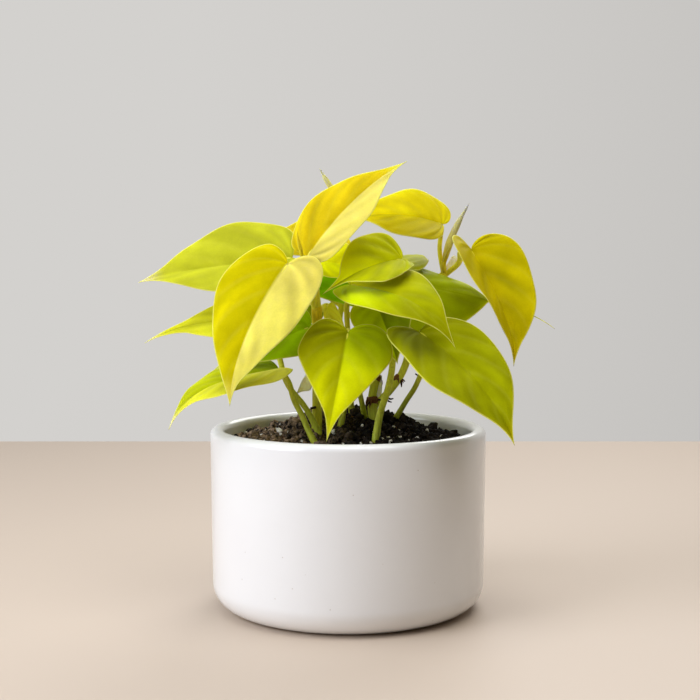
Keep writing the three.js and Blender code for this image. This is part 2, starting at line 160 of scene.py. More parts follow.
# %% [markdown]
# ## Floor and light
# The plant stands on a plain pale floor. Soft daylight comes from the left: one wide light stands there a
# little in front, so the round pot runs from white on the left to a warm grey on the right. A second wide
# light overhead lies on the leaves and hardly on the upright side of the pot. A small one stands low on the
# left and reaches in under the leaves, to the stalks and the soil. The last stands behind and shines through
# the thin blades. The air all round is a pale wall behind the plant and a darker, warmer room on our side,
# so the shadows stay soft but the side away from the light is not washed out.

# %% Floor and light
FLOOR_HALF = 530
FLOOR_DROP = 0.2
FLOOR_COLOUR = "#CDBDAC"
FLOOR_ROUGHNESS = 0.6
WALL_COLOUR = "#D3D1CE"
ROOM_COLOUR = "#554F49"
PALE_SIDE = (-0.42, 0.9, 0.12)
PALE_FROM, PALE_FULL = -0.3, 0.95

floor_finish = new_finish("pale_floor")
show(floor_finish.node_tree, add(
    floor_finish.node_tree, "ShaderNodeBsdfPrincipled",
    {"Base Color": linear(FLOOR_COLOUR), "Roughness": FLOOR_ROUGHNESS}))
flat = bmesh.new()
bmesh.ops.create_grid(flat, x_segments=1, y_segments=1, size=FLOOR_HALF * MM)
bmesh.ops.translate(flat, verts=flat.verts, vec=(0, 0, -FLOOR_DROP * MM))
floor = bpy.data.objects.new("floor", mesh_of(flat, "floor", [floor_finish]))
bpy.context.scene.collection.objects.link(floor)

world = bpy.data.worlds.new("air")
world.use_nodes = True
sky = world.node_tree
way = add(sky, "ShaderNodeTexCoord").outputs["Generated"]
towards_wall = add(sky, "ShaderNodeVectorMath", {0: way, 1: PALE_SIDE}, operation="DOT_PRODUCT")
wall_share = add(
    sky, "ShaderNodeMapRange",
    {"Value": towards_wall.outputs["Value"], "From Min": PALE_FROM, "From Max": PALE_FULL})
air = add(
    sky, "ShaderNodeMix",
    {0: wall_share.outputs[0], 6: linear(ROOM_COLOUR), 7: linear(WALL_COLOUR)}, data_type="RGBA")
sky.links.new(air.outputs[2], sky.nodes["Background"].inputs["Color"])
bpy.context.scene.world = world
bpy.context.scene.view_settings.view_transform = "Standard"

SOFT_LIGHTS = [
    dict(name="window_left", place=(-820, -420, 520), aim=(0, 0, 90), size=760, watts=7.5, colour="#EDF3FF"),
    dict(name="ceiling_front", place=(100, -220, 900), aim=(0, 0, 120), size=760, watts=5, colour="#FFFFFF"),
    dict(name="window_low", place=(-620, -560, 240), aim=(20, 0, 85), size=420, watts=0.9, colour="#F2F6FF"),
    dict(name="wall_behind", place=(260, 760, 700), aim=(0, 0, 130), size=620, watts=3.5, colour="#FDFDFF"),
]
for soft in SOFT_LIGHTS:
    light = bpy.data.lights.new(soft["name"], "AREA")
    light.shape = "DISK"
    light.size = soft["size"] * MM
    light.energy = soft["watts"]
    light.color = linear(soft["colour"])[:3]
    lamp = bpy.data.objects.new(soft["name"], light)
    lamp.location = Vector(soft["place"]) * MM
    aim = (Vector(soft["aim"]) - Vector(soft["place"])).to_track_quat("-Z", "Y")
    lamp.rotation_euler = aim.to_euler()
    bpy.context.scene.collection.objects.link(lamp)
    print("light:", soft["name"], soft["watts"], "W,", soft["size"], "mm across")

# %% [markdown]
# ## Glaze
# The pot is stoneware under a white gloss glaze, dipped and fired. Glass over clay has an index of about
# 1.5 and a low roughness. The glaze pools and thins by fractions of a millimetre, which shows as a very
# faint waviness in the highlights, and it carries a few pin-sized specks. It thins to a greyer white on the
# lip. The foot ring is wiped clean before firing, so bare clay shows there.

# %% Glaze material
GLAZE_WHITE = "#F4F5F5"
GLAZE_CLOUD = "#EEEEEE"
GLAZE_THIN = "#DFE0DA"
GLAZE_SPECK = "#B9AFA2"
CLAY_BARE = "#CDB9A2"
CLOUD_WIDTH = 45.5
SPECK_SPACING = 10.5
SPECK_RADIUS = 0.37
SPECK_CORE = 0.21
GLAZE_WAVE = 16.7
POT_HEIGHT = 82
RIM_ROUND = 3.2
GLAZED_FROM = 0.9
WIPED_BELOW = 0.5

glaze = new_finish("white_gloss_glaze")
tree = glaze.node_tree
spot = add(tree, "ShaderNodeTexCoord").outputs["Object"]
height = add(tree, "ShaderNodeSeparateXYZ", {0: spot}).outputs["Z"]
cloud = add(tree, "ShaderNodeTexNoise", {"Vector": spot, "Scale": repeats(CLOUD_WIDTH), "Detail": 3.0})
body_tone = add(
    tree, "ShaderNodeMix",
    {0: cloud.outputs["Fac"], 6: linear(GLAZE_WHITE), 7: linear(GLAZE_CLOUD)}, data_type="RGBA")
near_rim = add(
    tree, "ShaderNodeMapRange",
    {"Value": height, "From Min": (POT_HEIGHT - RIM_ROUND) * MM, "From Max": POT_HEIGHT * MM,
     "To Max": 0.45})
rim_tone = add(
    tree, "ShaderNodeMix",
    {0: near_rim.outputs[0], 6: body_tone.outputs[2], 7: linear(GLAZE_THIN)}, data_type="RGBA")
grit = add(tree, "ShaderNodeTexVoronoi", {"Vector": spot, "Scale": repeats(SPECK_SPACING)})
speck = add(
    tree, "ShaderNodeMapRange",
    {"Value": grit.outputs["Distance"], "From Min": SPECK_RADIUS / SPECK_SPACING,
     "From Max": SPECK_CORE / SPECK_SPACING, "To Max": 0.5})
speckled = add(
    tree, "ShaderNodeMix",
    {0: speck.outputs[0], 6: rim_tone.outputs[2], 7: linear(GLAZE_SPECK)}, data_type="RGBA")
on_foot = add(
    tree, "ShaderNodeMapRange", {"Value": height, "From Min": GLAZED_FROM * MM, "From Max": WIPED_BELOW * MM})
clay_or_glaze = add(
    tree, "ShaderNodeMix",
    {0: on_foot.outputs[0], 6: speckled.outputs[2], 7: linear(CLAY_BARE)}, data_type="RGBA")
gloss = add(
    tree, "ShaderNodeMapRange", {"Value": on_foot.outputs[0], "To Min": 0.2, "To Max": 0.8})
wave = add(tree, "ShaderNodeTexNoise", {"Vector": spot, "Scale": repeats(GLAZE_WAVE), "Detail": 1.0})
skin = add(tree, "ShaderNodeBump", {"Height": wave.outputs["Fac"], "Strength": 0.06, "Distance": 0.6 * MM})
show(tree, add(
    tree, "ShaderNodeBsdfPrincipled",
    {"Base Color": clay_or_glaze.outputs[2], "Roughness": gloss.outputs[0], "IOR": 1.5,
     "Coat Weight": 0.35, "Coat Roughness": 0.12, "Normal": skin.outputs[0]}))

# %% [markdown]
# ## Pot
# A thrown or cast round pot is one profile turned about its axis, so one spin makes it. The profile here
# keeps the solid's radii but has many more points at its rounds, a soft lip and a foot ring with a shallow
# hollow inside it. INSIDE says how far the inner wall has come in at each height.

# %% Pot
POT_RADIUS = 62.5
POT_DRAFT = 0.7
POT_WALL = 6.5
FOOT_ROUND = 12
FLOOR_THICKNESS = 8
FOOT_RING = (43, 49.5)
FOOT_HOLLOW = 1.3
SIDE_HEIGHT = 66
SIDE_STEPS = (0.25, 0.5, 0.75)
INSIDE = [(0, 74), (0.7, 22), (6, 11), (16, 8)]
POT_TURNS = 160
TURN_MERGE = 1e-6


def arc(middle, radius, start, end, steps):
    """Points of a circular arc in the radius-height plane, angles in degrees."""
    turns = [math.radians(start + (end - start) * i / steps) for i in range(steps + 1)]
    return [(middle[0] + radius * math.cos(a), middle[1] + radius * math.sin(a)) for a in turns]


def turned(profile, turns):
    """Spins a profile of radius and height, in millimetres, about the upright axis."""
    shell = bmesh.new()
    points = [shell.verts.new((r * MM, 0, h * MM)) for r, h in profile]
    lines = [shell.edges.new(pair) for pair in zip(points, points[1:])]
    bmesh.ops.spin(
        shell, geom=points + lines, cent=(0, 0, 0), axis=(0, 0, 1), dvec=(0, 0, 0),
        angle=math.tau, steps=turns, use_merge=True, use_duplicate=False)
    bmesh.ops.remove_doubles(shell, verts=shell.verts, dist=TURN_MERGE)
    bmesh.ops.recalc_face_normals(shell, faces=shell.faces)
    return shell


foot = POT_RADIUS - POT_DRAFT
inner = POT_RADIUS - POT_WALL
pot_profile = [(0, FOOT_HOLLOW), (FOOT_RING[0] - 1.5, FOOT_HOLLOW), (FOOT_RING[0] - 0.4, 0.5)]
pot_profile += [(FOOT_RING[0], 0), (FOOT_RING[1], 0)]
pot_profile += arc((foot - FOOT_ROUND, FOOT_ROUND), FOOT_ROUND, -86, 0, 14)
pot_profile += [
    (POT_RADIUS - POT_DRAFT * (1 - share), FOOT_ROUND + share * SIDE_HEIGHT) for share in SIDE_STEPS]
pot_profile += arc((POT_RADIUS - RIM_ROUND, POT_HEIGHT - RIM_ROUND), RIM_ROUND, 0, 180, 16)
pot_profile += [(inner - away, height) for away, height in INSIDE] + [(0, FLOOR_THICKNESS)]
piece("pot_glazed", turned(pot_profile, POT_TURNS), [glaze], "pot")

# %% [markdown]
# ## Potting mix
# Houseplants stand in a mix of peat, fine bark and perlite. It is not a smooth dark disc but a heap of
# crumbs from half a millimetre to a few millimetres. A lumpy bed gives the large shape, and thousands of
# small lumps lie on it. Damp peat is nearly black, dry crumbs are brown, so the colour wanders. All of it is
# matt and pitted: roughness 0.75 to 0.92.

# %% Potting mix materials
PIT_WIDTH = 0.385
PIT_DEPTH = 0.3
# Painted light: the soil turns paler brown towards the left, from x 5 mm to -35 mm, where the window light
# falls.
PAINTED_LIGHT_FROM, PAINTED_LIGHT_FULL = 5, -35


def crumb_finish(name, dark, light, grain, roughness, painted_lit_colour=None):
    """A rough, mottled finish: patches as wide as the grain, in millimetres, run from dark to light.

    Where a painted lit colour is given, light patches turn to it on the left: painted window light.
    """
    finish = new_finish(name)
    nodes = finish.node_tree
    where = add(nodes, "ShaderNodeTexCoord").outputs["Object"]
    patches = add(
        nodes, "ShaderNodeTexNoise",
        {"Vector": where, "Scale": repeats(grain), "Detail": 4.0, "Roughness": 0.6})
    contrast = add(
        nodes, "ShaderNodeMapRange", {"Value": patches.outputs["Fac"], "From Min": 0.4, "From Max": 0.62})
    tone = add(
        nodes, "ShaderNodeMix",
        {0: contrast.outputs[0], 6: linear(dark), 7: linear(light)}, data_type="RGBA")
    # Painted light: the light patches turn paler brown on the side of the window.
    if painted_lit_colour:
        x = add(nodes, "ShaderNodeSeparateXYZ", {0: where}).outputs["X"]
        painted_light_share = add(
            nodes, "ShaderNodeMapRange", {"Value": x, "From Min": PAINTED_LIGHT_FROM * MM, "From Max": PAINTED_LIGHT_FULL * MM})
        painted_lit_tone = add(
            nodes, "ShaderNodeMix",
            {0: painted_light_share.outputs[0], 6: linear(light), 7: linear(painted_lit_colour)}, data_type="RGBA")
        nodes.links.new(painted_lit_tone.outputs[2], tone.inputs[7])
    pits = add(nodes, "ShaderNodeTexNoise", {"Vector": where, "Scale": repeats(PIT_WIDTH), "Detail": 2.0})
    bumpy = add(
        nodes, "ShaderNodeBump", {"Height": pits.outputs["Fac"], "Strength": 0.7, "Distance": PIT_DEPTH * MM})
    show(nodes, add(
        nodes, "ShaderNodeBsdfPrincipled",
        {"Base Color": tone.outputs[2], "Roughness": roughness, "Specular IOR Level": 0.25,
         "Normal": bumpy.outputs[0]}))
    return finish


# The pale brown that the peat turns to on the left is painted light from the window.
peat = crumb_finish("damp_peat", "#070504", "#261C13", 3, 0.92, painted_lit_colour="#AC9278")
perlite_white = crumb_finish("perlite", "#DAD6CC", "#F6F4EE", 1.5, 0.75)
bark_brown = crumb_finish("fine_bark", "#3A2417", "#7C5738", 4, 0.85)

# %% [markdown]
# The bed is turned like the pot: over the top from the middle to the wall, and down inside the pot to its
# floor. Then every point of the top is lifted by the dish and the mound of the solid, and by noise.

# %% Soil bed
SOIL_EDGE_HEIGHT = 74
SOIL_DISH = 4.5
MOUND_HEIGHT = 8
MOUND_CENTRE = (0, 16)
MOUND_WIDTH = 30
SOIL_GAP = 0.3
HEAPS = [
    dict(width=9, height=1.5, layer=0), dict(width=3.4, height=0.9, layer=5),
    dict(width=1.5, height=0.45, layer=9),
]
BED_SIDE = [(0.6, 30), (1, 22), (7, 12)]
BED_RINGS = 80
BED_TURNS = 220


def soil_top(x, y):
    """Height of the soil in millimetres, the same dish and mound as the solid."""
    dish = SOIL_DISH * (1 - (x * x + y * y) / inner ** 2)
    reach = math.hypot(x - MOUND_CENTRE[0], y - MOUND_CENTRE[1]) / MOUND_WIDTH
    return SOIL_EDGE_HEIGHT + dish + MOUND_HEIGHT * math.exp(-reach ** 4)


def heap(x, y):
    """The unevenness of the bed: clods of a centimetre, lumps of a few millimetres and crumbs."""
    return sum(
        h["height"] * noise.noise(Vector((x / h["width"], y / h["width"], h["layer"]))) for h in HEAPS)


edge = inner - SOIL_GAP
bed_profile = [(edge * ring / BED_RINGS, SOIL_EDGE_HEIGHT) for ring in range(BED_RINGS + 1)]
bed_profile += [(edge - away, height) for away, height in BED_SIDE]
bed_profile += [(edge - 16, FLOOR_THICKNESS + SOIL_GAP), (0, FLOOR_THICKNESS + SOIL_GAP)]
bed = turned(bed_profile, BED_TURNS)
for point in bed.verts:
    x, y, z = point.co / MM
    if z > SOIL_EDGE_HEIGHT - 1:
        point.co.z = (soil_top(x, y) + heap(x, y)) * MM
piece("soil_bed", bed, [peat], "soil")


# %% [markdown]
# A crumb is a small ball of few faces, pushed in and out by noise and then squashed and turned at random.
# Six coarse and six fine lumps are enough: scaled and turned, no two look alike. The places are drawn once
# from a seed.
# Most grains of a mix are small, so the sizes are drawn with a bias to the small end.

# %% Crumbs, clods, perlite and bark
LUMP_DETAIL = 1.4
LUMP_WOBBLE = 0.14
SMALL_BIAS = 2.2
WALL_CLEARANCE = 1.5


def lump(index, coarse, ruggedness):
    """One irregular lump about two units across, of 35 faces when coarse and of 20 when fine."""
    ball = bmesh.new()
    if coarse:
        bmesh.ops.create_uvsphere(ball, u_segments=7, v_segments=5, radius=1)
    else:
        bmesh.ops.create_icosphere(ball, subdivisions=1, radius=1)
    for point in ball.verts:
        wobble = noise.noise(point.co * LUMP_DETAIL + Vector((index * 7, 0, 0)))
        point.co *= 1 + ruggedness * wobble + random.uniform(-LUMP_WOBBLE, LUMP_WOBBLE)
    return mesh_of(ball, f"lump_{index}")


def lay(pile, shape, x, y, size, rise, spin, stretch):
    """Adds one lump to the pile, on the bed and risen by a share of its size."""
    place = Matrix.Translation((x, y, soil_top(x, y) + heap(x, y) + size * rise))
    turn, widths = Euler(spin).to_matrix().to_4x4(), Matrix.Diagonal((*stretch, 1))
    laid = shape.copy()
    laid.transform(Matrix.Scale(MM, 4) @ place @ turn @ widths)
    pile.from_mesh(laid)
    bpy.data.meshes.remove(laid)


def scatter(name, shapes, count, sizes, finish, sink=0.1, flat=0.75, slim=1.0):
    """Lies count lumps on the bed. sizes is the range of their radius in millimetres."""
    pile = bmesh.new()
    for _ in range(count):
        far = (edge - WALL_CLEARANCE) * math.sqrt(random.random())
        turn = random.uniform(0, math.tau)
        size = sizes[0] + (sizes[1] - sizes[0]) * random.random() ** SMALL_BIAS
        spin = [random.uniform(0, math.tau) for _ in range(3)]
        stretch = (size * random.uniform(0.8, 1.25), size * slim, size * flat)
        shape = random.choice(shapes)
        lay(pile, shape, far * math.cos(turn), far * math.sin(turn), size, flat - sink, spin, stretch)
    return piece(name, pile, [finish], smooth=False)


coarse_lumps = [lump(i, True, 0.55) for i in range(6)]
fine_lumps = [lump(i + 10, False, 0.5) for i in range(6)]
scatter("soil_clods", coarse_lumps, 90, (1.4, 3.4), peat, sink=0.3)
scatter("soil_crumbs", coarse_lumps, 2300, (0.5, 2.0), peat)
scatter("soil_fines", fine_lumps, 5200, (0.25, 0.8), peat)
scatter("soil_perlite", coarse_lumps, 150, (0.55, 1.5), perlite_white, sink=-0.2)
scatter("soil_perlite_dust", fine_lumps, 260, (0.12, 0.35), perlite_white, sink=-0.6)
scatter("soil_bark", coarse_lumps, 150, (0.8, 2.6), bark_brown, flat=0.35, slim=0.4)

# %% [markdown]
# The larger grains of perlite catch the eye, so each of them has its own place: x, y and radius in
# millimetres. They are the same lumps, laid in the same way.

# %% Large grains of perlite
LARGE_PERLITE = [
    (15.4, -21.5, 1.2), (7.5, -19, 1.0), (18.6, -24.5, 1.0), (22.4, -8.8, 1.0), (37, -12.8, 1.2),
    (6.2, -11.2, 0.8), (0.8, -15, 0.7), (-1.3, -25.8, 0.8), (-40.7, 22.5, 1.0), (-41.9, 5.5, 1.3),
    (-34.1, -3.2, 1.0),
]
LARGE_RISE = 0.7
LARGE_FLAT = 0.8
grains = bmesh.new()
for index, (x, y, size) in enumerate(LARGE_PERLITE):
    shape = coarse_lumps[index % len(coarse_lumps)]
    lay(grains, shape, x, y, size, LARGE_RISE, (index, 2 * index, 0), (size, size, size * LARGE_FLAT))
piece("soil_perlite_large", grains, [perlite_white], smooth=False)
for shape in coarse_lumps + fine_lumps:
    bpy.data.meshes.remove(shape)

# %% [markdown]
# ## Leaf skin
# A heart-leaf blade has a smooth waxy skin, so its gloss is soft: the highlight spreads but still shows.
# Light also comes through it. Its colour follows the leaf: the blade hands the shader its own tint, its
# distance from the midrib and from the margin, and a map in which the side veins are straight lines. The
# margin is paler than the rest, and so is the midrib on the underside. The cells between the finest veins
# are about a millimetre wide, and the underside is duller and greyer. The index of leaf wax is about 1.4,
# and its reflection is kept faint and tinted, because the soft light of a room hardly shows on it.

# %% Leaf skin materials
MARGIN_PALE = "#EEEB7C"
MIDRIB_PALE = "#E6DF63"
UNDERSIDE_BLOOM = "#C6CC86"
BLOOM_SHARE = 0.22
WAX_TINT = "#D8DC50"
BLOTCH_WIDTH = 10.5
GRAIN_WIDTH = 0.67
VEINS = 7
VEIN_SWEEP = 0.1
VEIN_RIDGE = 1.5
CELL_WIDTH = 1.1
LIGHT_REACH = 1.2


def leaf_skin(name, underside):
    """The waxy upper skin of a blade, or its duller underside."""
    finish = new_finish(name)
    nodes = finish.node_tree
    where = add(nodes, "ShaderNodeTexCoord").outputs["Object"]
    tint = add(nodes, "ShaderNodeAttribute", attribute_name="tint").outputs["Color"]
    from_edge = add(nodes, "ShaderNodeAttribute", attribute_name="from_edge").outputs["Fac"]
    blotch = add(
        nodes, "ShaderNodeTexNoise", {"Vector": where, "Scale": repeats(BLOTCH_WIDTH), "Detail": 3.0})
    grain = add(nodes, "ShaderNodeTexNoise", {"Vector": where, "Scale": repeats(GRAIN_WIDTH), "Detail": 1.0})
    blotch_gain = add(
        nodes, "ShaderNodeMapRange",
        {"Value": blotch.outputs["Fac"], "From Min": 0.3, "From Max": 0.7, "To Min": 0.9, "To Max": 1.1})
    grain_gain = add(
        nodes, "ShaderNodeMapRange",
        {"Value": grain.outputs["Fac"], "From Min": 0.3, "From Max": 0.7, "To Min": 0.97, "To Max": 1.03})
    gain = add(
        nodes, "ShaderNodeMath", {0: blotch_gain.outputs[0], 1: grain_gain.outputs[0]}, operation="MULTIPLY")
    mottled = add(nodes, "ShaderNodeVectorMath", {0: tint, "Scale": gain.outputs[0]}, operation="SCALE")

    # Side veins: V is constant along a vein once it is swept back by the square of the way to the margin
    veins_map = add(nodes, "ShaderNodeUVMap", uv_map="blade").outputs[0]
    split = add(nodes, "ShaderNodeSeparateXYZ", {0: veins_map})
    out = add(nodes, "ShaderNodeMath", {0: split.outputs["X"], 1: 2.0, 2: -1.0}, operation="MULTIPLY_ADD")
    out_squared = add(nodes, "ShaderNodeMath", {0: out.outputs[0], 1: 2.0}, operation="POWER")
    swept = add(
        nodes, "ShaderNodeMath", {0: out_squared.outputs[0], 1: -VEIN_SWEEP, 2: split.outputs["Y"]},
        operation="MULTIPLY_ADD")
    counted = add(nodes, "ShaderNodeMath", {0: swept.outputs[0], 1: float(VEINS)}, operation="MULTIPLY")
    to_vein = add(nodes, "ShaderNodeMath", {0: counted.outputs[0], 1: 0.5}, operation="PINGPONG")
    on_vein = add(
        nodes, "ShaderNodeMapRange",
        {"Value": to_vein.outputs[0], "From Min": 0.2, "From Max": 0.0, "To Max": 0.05},
        interpolation_type="SMOOTHSTEP")
    veined = add(
        nodes, "ShaderNodeMix",
        {0: on_vein.outputs[0], 6: mottled.outputs[0], 7: linear(MIDRIB_PALE)}, data_type="RGBA")
    ribbed = veined
    if underside:
        from_rib = add(nodes, "ShaderNodeAttribute", attribute_name="from_rib").outputs["Fac"]
        on_rib = add(
            nodes, "ShaderNodeMapRange",
            {"Value": from_rib, "From Min": 0.75, "From Max": 0.2, "To Max": 0.7},
            interpolation_type="SMOOTHSTEP")
        ribbed = add(
            nodes, "ShaderNodeMix",
            {0: on_rib.outputs[0], 6: veined.outputs[2], 7: linear(MIDRIB_PALE)}, data_type="RGBA")
    on_edge = add(
        nodes, "ShaderNodeMapRange",
        {"Value": from_edge, "From Min": 0.65, "From Max": 0.2, "To Max": 0.6},
        interpolation_type="SMOOTHSTEP")
    edged = add(
        nodes, "ShaderNodeMix",
        {0: on_edge.outputs[0], 6: ribbed.outputs[2], 7: linear(MARGIN_PALE)}, data_type="RGBA")
    if underside:
        edged = add(
            nodes, "ShaderNodeMix",
            {0: BLOOM_SHARE, 6: edged.outputs[2], 7: linear(UNDERSIDE_BLOOM)}, data_type="RGBA")

    cells = add(nodes, "ShaderNodeTexVoronoi", {"Vector": where, "Scale": repeats(CELL_WIDTH)})
    relief = add(
        nodes, "ShaderNodeMath",
        {0: on_vein.outputs[0], 1: VEIN_RIDGE if underside else -VEIN_RIDGE, 2: cells.outputs["Distance"]},
        operation="MULTIPLY_ADD")
    bump = add(
        nodes, "ShaderNodeBump", {"Height": relief.outputs[0], "Strength": 0.35, "Distance": 0.08 * MM})
    wax = add(
        nodes, "ShaderNodeMapRange",
        {"Value": blotch.outputs["Fac"], "To Min": 0.5 if underside else 0.42,
         "To Max": 0.62 if underside else 0.54})
    show(nodes, add(
        nodes, "ShaderNodeBsdfPrincipled",
        {"Base Color": edged.outputs[2], "Roughness": wax.outputs[0], "IOR": 1.4,
         "Subsurface Weight": 0.7, "Subsurface Radius": (1.0, 0.95, 0.2),
         "Subsurface Scale": LIGHT_REACH * MM,
         "Specular IOR Level": 0.08 if underside else 0.03, "Specular Tint": linear(WAX_TINT),
         "Normal": bump.outputs[0]}))
    return finish


leaf_upper = leaf_skin("leaf_upper_skin", underside=False)
leaf_under = leaf_skin("leaf_underside", underside=True)

# %% [markdown]
# ## The leaves
# Every blade is one flat heart, drawn by a curve along its margin and bent along its midrib. A golden
# philodendron's leaf is yellow while it is young and stands in full light, and lime to green when it is old
# or shaded. The tints hold that colour and painted light and shade as well: some are darker for a blade in
# shade, and some brighter for light that falls on it. The tints have plain names, so that a leaf's row reads
# like a note made in front of the plant.

# %% Leaf tints
LEAF_TINTS = {
    "cream": "#E8DC9E", "butter": "#E2D660", "dark butter": "#D8CA5E", "pale lemon": "#FCFA54",
    "tip yellow": "#E2D640", "lemon": "#ECDA14", "gold": "#D4BE16", "deep gold": "#C6BA04",
    "shaded gold": "#BCAC04", "brown gold": "#98820A", "olive gold": "#B2AA06",
    "light lime": "#F6F618", "bright lime": "#E4EA0A", "lime": "#CACE06", "soft lime": "#CECE28",
    "dull lime": "#BCBE2A", "deep lime": "#B4BC0C", "fresh olive": "#A6B606", "light olive": "#A6AA04",
    "olive": "#989C04", "pale green": "#CED464", "light green": "#D2E808", "bright green": "#A6CC08",
    "cool green": "#98D20C", "deep green": "#92A610",
}
print("leaf tints:", len(LEAF_TINTS))
